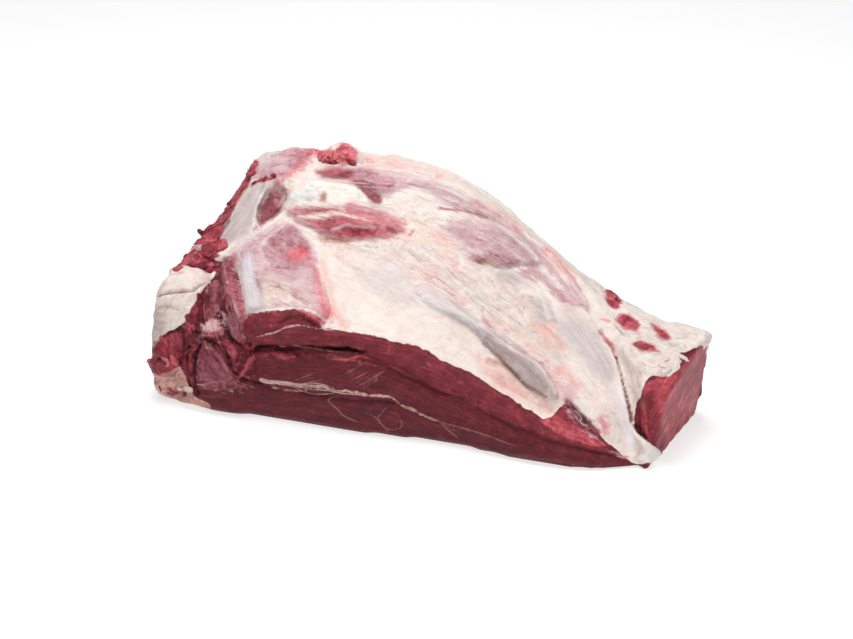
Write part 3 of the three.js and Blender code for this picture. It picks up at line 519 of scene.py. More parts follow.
# Thin pale threads and dark cracks, too fine to be areas. The number is half the width, in picture points.
THREADS = [
    ("fascia along the lowest muscle", [(440, 422), (462, 428), (488, 436), (512, 445)], 0.7),
    ("branch of the fascia", [(440, 422), (448, 430), (458, 438)], 0.5),
    ("loop under the fascia", [(336, 397), (328, 400), (338, 410), (344, 416), (358, 422)], 0.6),
    ("second loop", [(392, 402), (384, 410), (378, 420), (388, 429), (398, 429), (402, 424), (398, 416)], 0.5),
    ("thread of the lowest muscle", [(366, 412), (378, 420), (386, 430)], 0.45),
    ("streak of the middle muscle", [(340, 376), (352, 370), (366, 362)], 0.7),
    ("glint of the middle muscle", [(360, 385), (371, 379), (382, 372)], 1.0),
    ("second glint", [(367, 386), (377, 380)], 0.8),
    ("third glint", [(356, 378), (366, 373)], 0.6),
    ("streaks of the middle muscle", [(296, 380), (312, 374)], 0.5),
    ("streak below them", [(304, 383), (322, 380)], 0.4),
    ("short streak", [(330, 359), (350, 360), (356, 361)], 0.6),
    # A painted highlight along the edge of the crevice under the band.
    ("pale edge on the band", [(296, 347), (312, 348), (330, 351), (344, 352)], 0.6),
    ("nick in the band", [(426, 362), (430, 365)], 1.2),
    ("left thread", [(205, 384), (214, 382), (226, 381)], 0.6),
    ("red vein", [(300, 250), (306, 246)], 0.4),
]

# The way that the fibres run.
GRAIN = [
    [(250, 172), (275, 162), (305, 155), (350, 152)],
    [(300, 170), (350, 173), (420, 180), (500, 214), (562, 268), (612, 322)],
    [(350, 148), (450, 166), (540, 236), (620, 298), (700, 340)],
    [(430, 226), (500, 252), (560, 292), (602, 332)],
    [(285, 208), (340, 220), (408, 236)],
    [(400, 240), (480, 290), (560, 360), (602, 424)],
    [(424, 298), (490, 338), (556, 396)],
    [(320, 262), (400, 304), (480, 352), (560, 412)],
    [(266, 182), (252, 212), (228, 242)],
    [(286, 200), (276, 214), (260, 228)],
    [(240, 250), (246, 280), (252, 306)],
    [(268, 232), (286, 248), (310, 262)],
    [(262, 282), (284, 288), (306, 300)],
    [(314, 262), (318, 282), (328, 312)],
    [(246, 342), (345, 342), (430, 366), (540, 428), (622, 454)],
    [(262, 366), (345, 372), (430, 398), (520, 436), (602, 458)],
    [(200, 398), (330, 412), (450, 440), (602, 466)],
    [(572, 308), (612, 362), (640, 432)],
    [(558, 392), (580, 416), (602, 442)],
    [(224, 264), (234, 300), (244, 344)],
    [(204, 286), (206, 330), (226, 370), (262, 390)],
    [(160, 300), (176, 284), (210, 268)],
    [(158, 380), (180, 350), (192, 320)],
    [(640, 452), (672, 400), (706, 350)],
]

# Rough lumps along a path: tissue, path, how many, how far they stray from it in picture points, their radius in
# millimetres and their tone.
TORN_LUMPS = [
    (RAW, [(314, 153), (326, 156), (338, 153), (345, 150), (355, 154)], 22, 2.2, 2.8, 0.6),
    (RAW, [(318, 160), (332, 163), (348, 162)], 8, 1.4, 3.0, -0.2),
    (SKIN, [(268, 158), (282, 153), (300, 151), (312, 152)], 6, 2.0, 2.4, 0.2),
    (RAW, [(252, 168), (247, 178), (242, 187)], 6, 1.4, 2.8, -0.2),
    (RAW, [(240, 190), (234, 202), (225, 213), (216, 224)], 10, 1.6, 2.8, -0.3),
    (RAW, [(252, 184), (262, 180), (274, 178)], 5, 0.6, 2.0, -0.7),
    (RAW, [(216, 230), (206, 234), (204, 244), (216, 248), (216, 256)], 10, 3.0, 5.0, -0.35),
    (SKIN, [(208, 240), (198, 250), (188, 258)], 4, 2.0, 3.6, -0.2),
    (RAW, [(178, 266), (186, 259), (200, 250), (208, 246)], 9, 1.8, 4.0, -0.3),
    (RAW, [(196, 266), (206, 262), (212, 266), (206, 271)], 6, 2.0, 4.6, -0.6),
    (RAW, [(202, 297), (196, 310), (190, 324), (184, 334)], 5, 1.2, 3.4, -0.4),
    (RAW, [(178, 336), (168, 342), (160, 352), (168, 360), (176, 350), (158, 366)], 8, 4.0, 3.4, -0.3),
    (RAW, [(190, 350), (186, 366), (192, 384)], 3, 1.0, 3.0, -0.5),
    (FAT, [(170, 380), (184, 392), (198, 402)], 3, 2.0, 2.6, -0.4),
    (RAW, [(164, 388), (172, 394), (184, 392)], 3, 1.6, 2.4, -0.5),
    (FAT, [(684, 336), (692, 333), (702, 340), (706, 345)], 12, 1.4, 3.0, 0.3),
    (FAT, [(646, 376), (662, 374), (676, 366), (681, 358)], 7, 0.8, 2.6, 0.3),
    (FAT, [(666, 362), (676, 352), (688, 344)], 4, 3.0, 4.0, 0.2),
    (RAW, [(604, 294), (614, 300)], 4, 1.6, 2.4, 0.1),
]

# Thin strands: tissue, the path that they follow, how many, how far they stray, half their width in millimetres and
# their tone.
STRANDS = [
    (FAT, [(400, 212), (440, 252), (480, 288), (520, 318), (556, 348)], 16, 12.0, 0.45, 0.5),
    (FAT, [(400, 262), (440, 284), (480, 306), (520, 334)], 5, 4.0, 0.4, 0.4),
    (FAT, [(352, 206), (390, 200), (430, 212), (452, 224)], 6, 6.0, 0.45, 0.5),
    (FAT, [(420, 190), (470, 214), (530, 252), (580, 306), (604, 340)], 10, 5.0, 0.4, 0.5),
    (SKIN, [(340, 172), (400, 182), (450, 198), (500, 226), (556, 272)], 8, 5.0, 0.3, 0.6),
    (SKIN, [(446, 232), (480, 242), (520, 258)], 6, 7.0, 0.3, 0.5),
    (FAT, [(566, 402), (578, 416), (592, 432)], 3, 2.0, 0.25, 0.1),
    (FAT, [(630, 352), (655, 360), (674, 362)], 3, 6.0, 0.45, 0.3),
    (FAT, [(262, 380), (312, 386), (366, 395), (420, 414)], 6, 1.2, 0.4, -0.7),
]

# How far a mark is felt, in picture points, and the tissues from the lowest layer to the top one.
REACH = 22.0
LAYERS = [LEAN, FAT, SKIN, TENDON, RAW]

# How squarely the surface faces the drawn view where colours and heights of the marks give way to hidden ones.
COLOUR_FADE = (-0.16, 0.04)
HEIGHT_FADE = (-0.95, -0.6)
# How the edges of the marks wander: size in millimetres, amount in picture points and two seeds.
WANDERS = [(5, 0.9, (3, 5)), (13, 1.1, (7, 9))]


def tone_of(kind):
    """The name of the field that holds a tissue's tone."""
    return kind + "_tone"


def smooth_path(points, closed=False, steps=5):
    """A smooth curve through points."""
    p = np.asarray(points, float)
    if closed:
        p = np.vstack([p[-1:], p, p[:2]])
    else:
        p = np.vstack([2 * p[:1] - p[1:2], p, 2 * p[-1:] - p[-2:-1]])
    t = np.linspace(0, 1, steps, endpoint=False)[:, None]
    runs = []
    for a, b, c, d in zip(p, p[1:], p[2:], p[3:]):
        curve = 2 * b + (c - a) * t + (2 * a - 5 * b + 4 * c - d) * t**2 + (3 * b - a - 3 * c + d) * t**3
        runs.append(curve / 2)
    if not closed:
        runs.append(p[-2:-1])
    return np.vstack(runs)


def near(points, path, reach=REACH):
    """Indices of the points within reach of the path's box."""
    low, high = path.min(0) - reach, path.max(0) + reach
    return np.nonzero(((points > low) & (points < high)).all(1))[0]


def along_path(points, path):
    """Distance to the path, its sign by side, the length along it and the share along it."""
    best = np.full(len(points), 1e9)
    side = np.ones(len(points))
    length = np.zeros(len(points))
    lengths = np.linalg.norm(np.diff(path, axis=0), axis=1)
    starts = np.concatenate([[0], np.cumsum(lengths)])
    for a, b, size, start in zip(path, path[1:], lengths, starts):
        if size < 1e-9:
            continue
        way = (b - a) / size
        d = points - a
        t = np.clip(d @ way, 0, size)
        away = np.hypot(d[:, 0] - t * way[0], d[:, 1] - t * way[1])
        closer = away < best
        best[closer] = away[closer]
        side[closer] = np.where(way[0] * d[:, 1] - way[1] * d[:, 0] < 0, -1.0, 1.0)[closer]
        length[closer] = (start + t)[closer]
    return best, side, length, length / max(starts[-1], 1e-9)


def inside(points, path):
    """True for points inside a closed path."""
    result = np.zeros(len(points), bool)
    for a, b in zip(path, np.roll(path, -1, axis=0)):
        if a[1] == b[1]:
            continue
        crosses = (a[1] > points[:, 1]) != (b[1] > points[:, 1])
        result ^= crosses & (points[:, 0] < a[0] + (points[:, 1] - a[1]) * (b[0] - a[0]) / (b[1] - a[1]))
    return result


def step_up(value, low, high):
    """0 below low, 1 above high, smooth between."""
    t = np.clip((value - low) / (high - low), 0, 1)
    return t * t * (3 - 2 * t)


def mark_depth(mark, seen):
    """How deep each point lies inside a mark, in picture points: negative outside."""
    path = smooth_path(mark.points, mark.closed)
    depth = np.full(len(seen), -REACH)
    chosen = near(seen, path)
    points = seen[chosen]
    if mark.closed:
        away = along_path(points, np.vstack([path, path[:1]]))[0]
        depth[chosen] = np.where(inside(points, path), away, -away)
    else:
        away, _, _, share = along_path(points, path)
        depth[chosen] = np.interp(share, [0, 0.5, 1], mark.half) - away
    return np.clip(depth, -REACH, REACH)


# ---- Uneven surfaces ----


def lattice_values(cells, seed):
    """A repeatable number from -1 to 1 for each whole-number cell."""
    n = cells[..., 0] * 374761393 + cells[..., 1] * 668265263 + cells[..., 2] * 2147483647 + seed * 974634777
    n = (n ^ (n >> 13)) * 1274126177
    n = n ^ (n >> 16)
    return (n & 0xFFFF) / 32767.5 - 1


def lumps(places, spacing, seed=0):
    """Smooth lumps between about -1 and 1, one to each spacing."""
    p = places / spacing
    base = np.floor(p).astype(np.int64)
    t = p - base
    t = t * t * t * (t * (6 * t - 15) + 10)
    total = np.zeros(len(p))
    for corner in np.ndindex(2, 2, 2):
        weight = np.prod(np.where(corner, t, 1 - t), axis=1)
        total += weight * lattice_values(base + np.array(corner), seed)
    return total


def rough(places, spacing, seed=0, octaves=3):
    """Lumps with smaller lumps on them."""
    total = sum(lumps(places, spacing / 2**k, seed + k) / 2**k for k in range(octaves))
    return total / (2 - 0.5 ** (octaves - 1))


# ---- The body's surface ----


def link(name, data):
    """A new object in the scene."""
    made = bpy.data.objects.new(name, data)
    bpy.context.scene.collection.objects.link(made)
    return made


@contextmanager
def edited(mesh):
    """A mesh opened for bmesh operators and written back after them."""
    edit = bmesh.new()
    edit.from_mesh(mesh)
    yield edit
    edit.to_mesh(mesh)
    edit.free()


def places_of(mesh):
    """The mesh's points, in millimetres."""
    places = np.empty(3 * len(mesh.vertices), np.float32)
    mesh.vertices.foreach_get("co", places)
    return places.reshape(-1, 3).astype(float) / MM


def normals_of(mesh):
    normals = np.empty(3 * len(mesh.vertices), np.float32)
    mesh.vertex_normals.foreach_get("vector", normals)
    return normals.reshape(-1, 3).astype(float)


def set_places(mesh, places):
    mesh.vertices.foreach_set("co", (places * MM).astype(np.float32).ravel())
    mesh.update()


def edges_of(mesh):
    edges = np.empty(2 * len(mesh.edges), np.int32)
    mesh.edges.foreach_get("vertices", edges)
    return edges.reshape(-1, 2)


def relaxed(places, edges, amount):
    """Each place moved by amount of the way to the middle of its neighbours."""
    a, b = edges.T
    size = len(places)
    count = np.bincount(np.concatenate([a, b]), minlength=size)[:, None]
    sums = [np.bincount(a, places[b, k], size) + np.bincount(b, places[a, k], size) for k in range(3)]
    return places + amount * (np.stack(sums, axis=1) / count - places)


def smoothed(places, edges, rounds):
    """Evens out facets without shrinking the form."""
    for _ in range(rounds):
        places = relaxed(relaxed(places, edges, 0.6), edges, -0.62)
    return places


def even_surface(node, spacing, rounds):
    """A closed copy of a solid with its facets smoothed, and twice as many points where the marks are seen."""
    piece = link("clod_body", node.data.copy())
    with edited(piece.data) as edit:
        bmesh.ops.remove_doubles(edit, verts=edit.verts, dist=1e-6)
    remesh = piece.modifiers.new("even spacing", "REMESH")
    remesh.mode = "VOXEL"
    remesh.voxel_size = 2 * spacing * MM
    bpy.context.view_layer.objects.active = piece
    bpy.ops.object.modifier_apply(modifier=remesh.name)
    mesh = piece.data
    set_places(mesh, smoothed(places_of(mesh), edges_of(mesh), rounds))
    with edited(mesh) as edit:
        seen_edges = [e for e in edit.edges if any((v.co / MM - Vector(EYE)).dot(v.normal) < 0 for v in e.verts)]
        bmesh.ops.subdivide_edges(edit, edges=seen_edges, cuts=1, use_grid_fill=True)
    set_places(mesh, smoothed(places_of(mesh), edges_of(mesh), rounds // 2))
    return piece


def facing_view(places, normals):
    """1 where the surface faces the drawn view, 0 where it is seen edge on, -1 where it faces away."""
    way = EYE - places
    way /= np.linalg.norm(way, axis=1)[:, None]
    return (way * normals).sum(1)


def hidden_depths(places):
    """The tissues of the back, the thick end and the underside, which the marks don't reach."""
    torn_end = step_up(-places[:, 0], 185, 225)
    under = step_up(-places[:, 2], -26, -2)
    drawn = places * [0.5, 1, 1]
    fat = 6 + 7 * rough(drawn, 60, 11) + 3 * rough(drawn, 14, 12) - 10 * torn_end - 12 * under
    skin = np.minimum(1.5 - fat, fat + 6) + 2 * rough(places, 22, 23)
    tendon = 7 * rough(places * [0.3, 1, 1], 40, 37) - 4.5
    raw = 6 * rough(places, 22, 41) - 5 + 7 * torn_end
    return {FAT: fat, SKIN: skin, TENDON: tendon, RAW: raw}


def tissues(places, normals):
    """How deep each point lies in each tissue, its other fields, its lift, where it is seen and how far."""
    seen, facing = seen_at(places), facing_view(places, normals)
    shown = step_up(facing, *COLOUR_FADE)
    unseen = 1 - shown
    wandered = seen + sum(amount * np.stack([lumps(places, size, seed) for seed in seeds], axis=1)
                          for size, amount, seeds in WANDERS)
    depths = {kind: np.full(len(places), -REACH) for kind in LAYERS[1:]}
    fields = {name: np.zeros(len(places)) for name in [tone_of(kind) for kind in LAYERS] + ["web", "warm"]}
    lift = np.zeros(len(places))
    for mark in MARKS:
        depth = mark_depth(mark, wandered)
        cover = step_up(depth, -mark.soft / 2, mark.soft / 2)
        lift += mark.lift * step_up(depth, -mark.rim / 2, mark.rim / 2)
        if mark.kind is None:
            for kind in LAYERS:
                fields[tone_of(kind)] += mark.tone * cover
            fields["warm"] += mark.warm * cover
            fields["web"] = np.maximum(fields["web"], mark.web * cover)
            continue
        tone = fields[tone_of(mark.kind)]
        tone += (mark.tone - tone) * step_up(depth, -mark.soft, mark.soft / 2)
        for name, value in (("warm", mark.warm), ("web", mark.web)):
            fields[name] += (value - fields[name]) * cover
        edge = depth / max(1.0, mark.soft / 3)
        for other in LAYERS[LAYERS.index(mark.kind) + 1:]:
            depths[other] = np.minimum(depths[other], -edge)
        if mark.kind in depths:
            depths[mark.kind] = np.maximum(depths[mark.kind], edge)
    hidden = hidden_depths(places)
    for kind in depths:
        depths[kind] = depths[kind] * shown + hidden[kind] * unseen
    hidden_fields = {"web": 0.6, "warm": 0.1 + 0.4 * rough(places, 30, 57)}
    hidden_tone = 0.05 + 0.4 * rough(places, 34, 51)
    for name in fields:
        fields[name] = fields[name] * shown + hidden_fields.get(name, hidden_tone) * unseen
    lift *= step_up(facing, *HEIGHT_FADE)
    lift += (1.5 * step_up(hidden[FAT], -2, 2) + 3 * rough(places * [0.4, 1, 1], 42, 59)) * unseen
    return depths, fields, lift, seen, shown


def thread_field(seen, shown):
    """Signed distance from the nearest thread over its half width, and how much of a thread there is."""
    away = np.full(len(seen), 9.0)
    strength = np.zeros(len(seen))
    for _, points, half in THREADS:
        path = smooth_path(points)
        chosen = near(seen, path, 6)
        distance, side, _, share = along_path(seen[chosen], path)
        closer = distance < np.abs(away[chosen])
        chosen = chosen[closer]
        away[chosen] = (distance * side)[closer]
        taper = np.sin(np.pi * np.clip(share[closer], 0.04, 0.96)) ** 0.4
        strength[chosen] = np.where(distance[closer] < 5, taper * half, 0)
    return away, strength * shown


def grain_field(places, seen, shown):
    """Lengths along and across the fibres, and the number of the nearest fibre line."""
    best = np.full(len(seen), 1e9)
    flow = np.zeros((len(seen), 3))
    nearest = np.zeros(len(seen), int)
    for number, points in enumerate(GRAIN):
        distance, side, length, _ = along_path(seen, smooth_path(points))
        closer = distance < best
        best[closer] = distance[closer]
        flow[closer, 0] = length[closer] + 400 * number
        flow[closer, 1] = (distance * side)[closer]
        nearest[closer] = number
    hidden = shown < 0.5
    nearest[hidden] = -1
    flow[hidden, 0] = places[hidden, 0]
    flow[hidden, 1] = places[hidden, 2] - places[hidden, 1]
    return flow, nearest


def seam_share(nearest, edges):
    """1 where the nearest fibre line changes, fading to 0 a few points away."""
    a, b = edges.T
    seam = np.zeros(len(nearest))
    changes = nearest[a] != nearest[b]
    seam[a[changes]] = seam[b[changes]] = 1
    for fade in (1.0, 0.7, 0.6, 0.5):
        spread = seam.copy()
        np.maximum.at(spread, a, fade * seam[b])
        np.maximum.at(spread, b, fade * seam[a])
        seam = spread
    return seam


def fine_relief(places, flow, depths, web):
    """Small lumps and streaks that suit each tissue, in millimetres."""
    fat = step_up(depths[FAT], -1, 3) * step_up(-depths[SKIN], -1, 2) * step_up(-depths[TENDON], -1, 2)
    raw = step_up(depths[RAW], -1, 2)
    lean = step_up(-depths[FAT], -1, 2)
    skin = step_up(depths[SKIN], -1, 3)
    streaks = rough(flow * [0.12, 1, 0], 4.5, 81)
    relief = fat * (0.8 * rough(places, 16, 61) + 0.3 * rough(places, 5.5, 67))
    relief += fat * web * (0.6 * streaks + 1.5 * rough(flow * [0.35, 1, 0], 8, 63)
                           + 0.8 * rough(flow * [0.4, 1, 0], 4, 65) + 0.8 * rough(places, 6, 68))
    relief += 2.2 * raw * rough(places, 5, 71)
    relief += lean * (0.4 * rough(places * [0.4, 1, 1], 9, 77) + 0.35 * streaks)
    relief += 0.35 * skin * streaks
    return relief


def inside_solid(places):
    """Places kept inside the solid's box."""
    low, high = np.array(SOLID_BOX[0]) / MM, np.array(SOLID_BOX[1]) / MM
    return np.clip(places, low + CLEARANCE, high - CLEARANCE)


def finish_mesh(mesh, fields):
    """Stores the fields that the material reads, and shades the mesh smooth."""
    for name, values in fields.items():
        kind, slot = ("FLOAT", "value") if values.ndim == 1 else ("FLOAT_VECTOR", "vector")
        attribute = mesh.attributes.new(name, kind, "POINT")
        attribute.data.foreach_set(slot, values.astype(np.float32).ravel())
    mesh.polygons.foreach_set("use_smooth", np.ones(len(mesh.polygons), bool))


def dress_surface(mesh, relief_share):
    """Lifts and colours the body's surface by its marks."""
    places, normals = places_of(mesh), normals_of(mesh)
    depths, fields, lift, seen, shown = tissues(places, normals)
    flow, nearest = grain_field(places, seen, shown)
    flow *= (1 - step_up(seam_share(nearest, edges_of(mesh)), 0.3, 0.9))[:, None]
    relief = fine_relief(places, flow, depths, fields["web"])
    change = relief_share * (lift + relief) * step_up(places[:, 2], *FOOT)
    set_places(mesh, inside_solid(places + change[:, None] * normals))

    places, normals = places_of(mesh), normals_of(mesh)
    depths, fields, _, seen, shown = tissues(places, normals)
    # Each tissue's tone follows the relief: lower places darker, higher places paler. This is painted shade in the
    # hollows and painted light on the lumps.
    for kind in LAYERS:
        fields[tone_of(kind)] += np.clip(0.25 * relief, -0.2, 0.3)
    flow, nearest = grain_field(places, seen, shown)
    away, strength = thread_field(seen, shown)
    thread = np.stack([away, strength, np.zeros(len(away))], axis=1)
    seam = seam_share(nearest, edges_of(mesh))
    finish_mesh(mesh, {**depths, **fields, "thread": thread, "flow": flow, "seam": seam})


# ---- Torn lumps and strands ----

# A lump's length, breadth and height over its radius, and the share of its radius that it is sunk into the body.
LUMP_FORM = (1.7, 0.85, 0.5)
LUMP_SINK = 0.15
# How many spots on the body a strand runs through, and the widest gap between two of them, in millimetres.
STRAND_SPOTS = 9
LONGEST_GAP = 14


class Gathered:
    """Collects small closed forms with their tissue and tone, then makes one piece of them."""

    def __init__(self, body):
        edit = bmesh.new()
        edit.from_mesh(body.data)
        self.tree = BVHTree.FromBMesh(edit)
        edit.free()
        self.edit = bmesh.new()
        self.rows = []

    def under(self, point):
        """Where the body is seen at a point of the picture, and its normal there, or None."""
        hit, normal, _, _ = self.tree.ray_cast(Vector(EYE * MM), Vector(ray_through(point)))
        return None if hit is None else (np.array(hit) / MM, np.array(normal))

    def keep(self, verts, places, kind, tone):
        """Puts a form's points in their places and notes its tissue and tone."""
        for vert, place in zip(verts, inside_solid(places)):
            vert.co = place * MM
        self.rows += [(LAYERS.index(kind), tone)] * len(verts)

    def piece(self, name):
        """One piece of all the forms, with the same fields as the body."""
        mesh = bpy.data.meshes.new(name)
        self.edit.to_mesh(mesh)
        self.edit.free()
        layer, tone = np.array(self.rows).T
        fat = layer == LAYERS.index(FAT)
        fields = {kind: np.where(layer == LAYERS.index(kind), 9.0, -9.0) for kind in LAYERS[1:]}
        fields |= {tone_of(kind): tone for kind in LAYERS}
        fields |= {"web": 0.7 * fat, "warm": 0.15 * fat, "seam": 0.0 * fat, "flow": places_of(mesh)}
        fields["thread"] = np.tile([9.0, 0.0, 0.0], (len(tone), 1))
        finish_mesh(mesh, fields)
        return link(name, mesh)


def add_lumps(body, rows, seed):
    """Rough lumps of torn meat and fat, sunk into the body."""
    chance = np.random.default_rng(seed)
    made = Gathered(body)
    for kind, path, count, stray, radius, tone in rows:
        path = smooth_path(path)
        for _ in range(count):
            found = made.under(path[chance.integers(len(path))] + chance.normal(0, stray, 2))
            size = radius * chance.uniform(0.6, 1.35)
            turn = chance.uniform(0, 2 * math.pi)
            tint = chance.normal(0, 0.15 if kind == FAT else 0.28)
            if found is None:
                continue
            spot, normal = found
            verts = bmesh.ops.create_icosphere(made.edit, subdivisions=3, radius=1.0)["verts"]
            form = np.array([v.co for v in verts])
            form *= 1 + 0.5 * rough(form + 7 * spot, 1.1, 91)[:, None]
            form *= size * np.array(LUMP_FORM)
            frame_of = Vector(normal).to_track_quat("Z", "Y").to_matrix() @ Matrix.Rotation(turn, 3, "Z")
            made.keep(verts, spot - LUMP_SINK * size * normal + form @ np.array(frame_of).T, kind, tone + tint)
    return made.piece("clod_torn_lumps")


def strand_places(ball, spots, normals, width):
    """A ball's points drawn out along spots on the body: a thin strand, a little flat, closed at both ends."""
    t = np.arccos(np.clip(-ball[:, 2], -1, 1)) / math.pi * (len(spots) - 1)

    def along(table):
        return np.stack([np.interp(t, np.arange(len(table)), table[:, k]) for k in range(3)], axis=1)

    out = along(normals)
    side = np.cross(out, along(np.gradient(spots, axis=0)))
    side /= np.linalg.norm(side, axis=1)[:, None]
    ring = np.hypot(ball[:, 0], ball[:, 1])
    fill = width * np.sqrt(ring) / np.maximum(ring, 1e-6)
    aside = (fill * ball[:, 0])[:, None] * side
    return along(spots) + 0.15 * out + aside + (0.6 * fill * ball[:, 1])[:, None] * out


def add_strands(body, rows, seed):
    """Thin strands of fat and skin that lie on the body."""
    chance = np.random.default_rng(seed)
    made = Gathered(body)
    for kind, path, count, stray, half, tone in rows:
        path = smooth_path(path)
        for _ in range(count):
            share = chance.uniform(0.12, 0.45)
            start = chance.uniform(0, 1 - share)
            aside = chance.normal(0, stray, 2)
            bend = chance.normal(0, 2.0, 2)
            width, tint = half * chance.uniform(0.5, 1.3), chance.normal(0, 0.2)
            at = np.linspace(start, start + share, STRAND_SPOTS) * (len(path) - 1)
            course = np.stack([np.interp(at, np.arange(len(path)), path[:, k]) for k in (0, 1)], axis=1)
            arch = np.sin(np.linspace(0, math.pi, STRAND_SPOTS))[:, None]
            found = [made.under(point) for point in course + aside + arch * bend]
            if any(spot is None for spot in found):
                continue
            spots, normals = (np.array(v) for v in zip(*found))
            if np.linalg.norm(np.diff(spots, axis=0), axis=1).max() > LONGEST_GAP:
                continue
            verts = bmesh.ops.create_uvsphere(made.edit, u_segments=6, v_segments=12, radius=1.0)["verts"]
            ball = np.array([v.co for v in verts])
            made.keep(verts, strand_places(ball, spots, normals, width), kind, tone + tint)
    return made.piece("clod_strands")


# ---- Materials ----


def colour(red, green, blue):
    """A linear colour from the usual 0 to 255 values."""
    def linear(v):
        v /= 255
        return v / 12.92 if v <= 0.04045 else ((v + 0.055) / 1.055) ** 2.4
    return (linear(red), linear(green), linear(blue), 1.0)


class Recipe:
    """Builds the nodes of one material."""

    def __init__(self, name):
        self.material = bpy.data.materials.new(name)
        self.material.use_nodes = True
        self.tree = self.material.node_tree
        self.tree.nodes.clear()

    def node(self, kind, inputs=None, **settings):
        node = self.tree.nodes.new("ShaderNode" + kind)
        for key, value in settings.items():
            setattr(node, key, value)
        for key, value in (inputs or {}).items():
            if isinstance(value, bpy.types.NodeSocket):
                self.tree.links.new(value, node.inputs[key])
            else:
                node.inputs[key].default_value = value
        return node

    def math(self, operation, a, b=0.0, c=0.0):
        return self.node("Math", {0: a, 1: b, 2: c}, operation=operation).outputs[0]

    def linear(self, value, factor, offset):
        return self.math("MULTIPLY_ADD", value, factor, offset)

    def field(self, name):
        return self.node("Attribute", attribute_name=name).outputs["Fac"]

    def vector_field(self, name):
        return self.node("Attribute", attribute_name=name).outputs["Vector"]

    def stretched(self, vector, scale):
        return self.node("VectorMath", {0: vector, 1: scale}, operation="MULTIPLY").outputs[0]

    def noise(self, vector, size, detail=3.0, roughness=0.55, distortion=0.0):
        """Noise with lumps of about the given size, centred on 0 and mostly within -1 to 1."""
        inputs = {"Vector": vector, "Scale": 1 / size, "Detail": detail, "Roughness": roughness,
                  "Distortion": distortion}
        value = self.node("TexNoise", inputs).outputs[0]
        return self.linear(value, 4.0, -2.0)

    def step(self, value, low, high):
        inputs = {"Value": value, "From Min": low, "From Max": high, "To Min": 0.0, "To Max": 1.0}
        return self.node("MapRange", inputs, interpolation_type="SMOOTHSTEP").outputs[0]

    def ramp(self, value, stops):
        """A colour for each value from -1 to 1."""
        node = self.node("ValToRGB", {0: self.linear(value, 0.5, 0.5)})
        elements = node.color_ramp.elements
        while len(elements) < len(stops):
            elements.new(0.5)
        for element, (at, shade) in zip(elements, stops):
            element.position = at * 0.5 + 0.5
            element.color = shade
        return node.outputs[0]

    def mix(self, share, a, b, blend="MIX"):
        return self.node("Mix", {0: share, 6: a, 7: b}, data_type="RGBA", blend_type=blend).outputs[2]

    def add(self, *terms):
        """The sum of the terms. A pair is a value and its weight."""
        total = 0.0
        for term in terms:
            total = self.math("ADD", total, self.times(*term) if isinstance(term, tuple) else term)
        return total

    def times(self, a, b):
        return self.math("MULTIPLY", a, b)

    def finished(self, inputs):
        """The material, with one shader that has these inputs."""
        shader = self.node("BsdfPrincipled", inputs)
        self.tree.links.new(shader.outputs[0], self.node("OutputMaterial").inputs[0])
        return self.material


def stops(*rows):
    """The stops of a ramp: a tone and its colour for each row."""
    return [(tone, colour(*shade)) for tone, *shade in rows]


LEAN_TONES = stops((-1.0, 26, 6, 11), (-0.5, 60, 17, 24), (0.0, 97, 28, 37), (0.35, 128, 45, 54), (0.65, 176, 70, 80),
                   (1.0, 226, 124, 130))
SKIN_TONES = stops((-1.0, 116, 48, 60), (-0.5, 158, 94, 102), (0.0, 197, 155, 161), (0.5, 215, 189, 190),
                   (1.0, 227, 213, 215))
FAT_TONES = stops((-1.0, 158, 120, 110), (-0.7, 199, 165, 154), (-0.3, 220, 203, 195), (0.1, 227, 219, 211),
                  (1.0, 240, 236, 229))
TENDON_TONES = stops((-1.0, 130, 108, 106), (-0.3, 176, 156, 153), (0.4, 202, 190, 188), (1.0, 222, 214, 218))
RAW_TONES = stops((-1.0, 84, 14, 28), (-0.4, 144, 44, 58), (0.1, 186, 84, 94), (1.0, 228, 124, 132))
WARMTH = stops((-1.0, 208, 214, 226), (-0.3, 238, 240, 243), (0.0, 255, 255, 255), (0.4, 255, 228, 226),
               (1.0, 250, 190, 190))


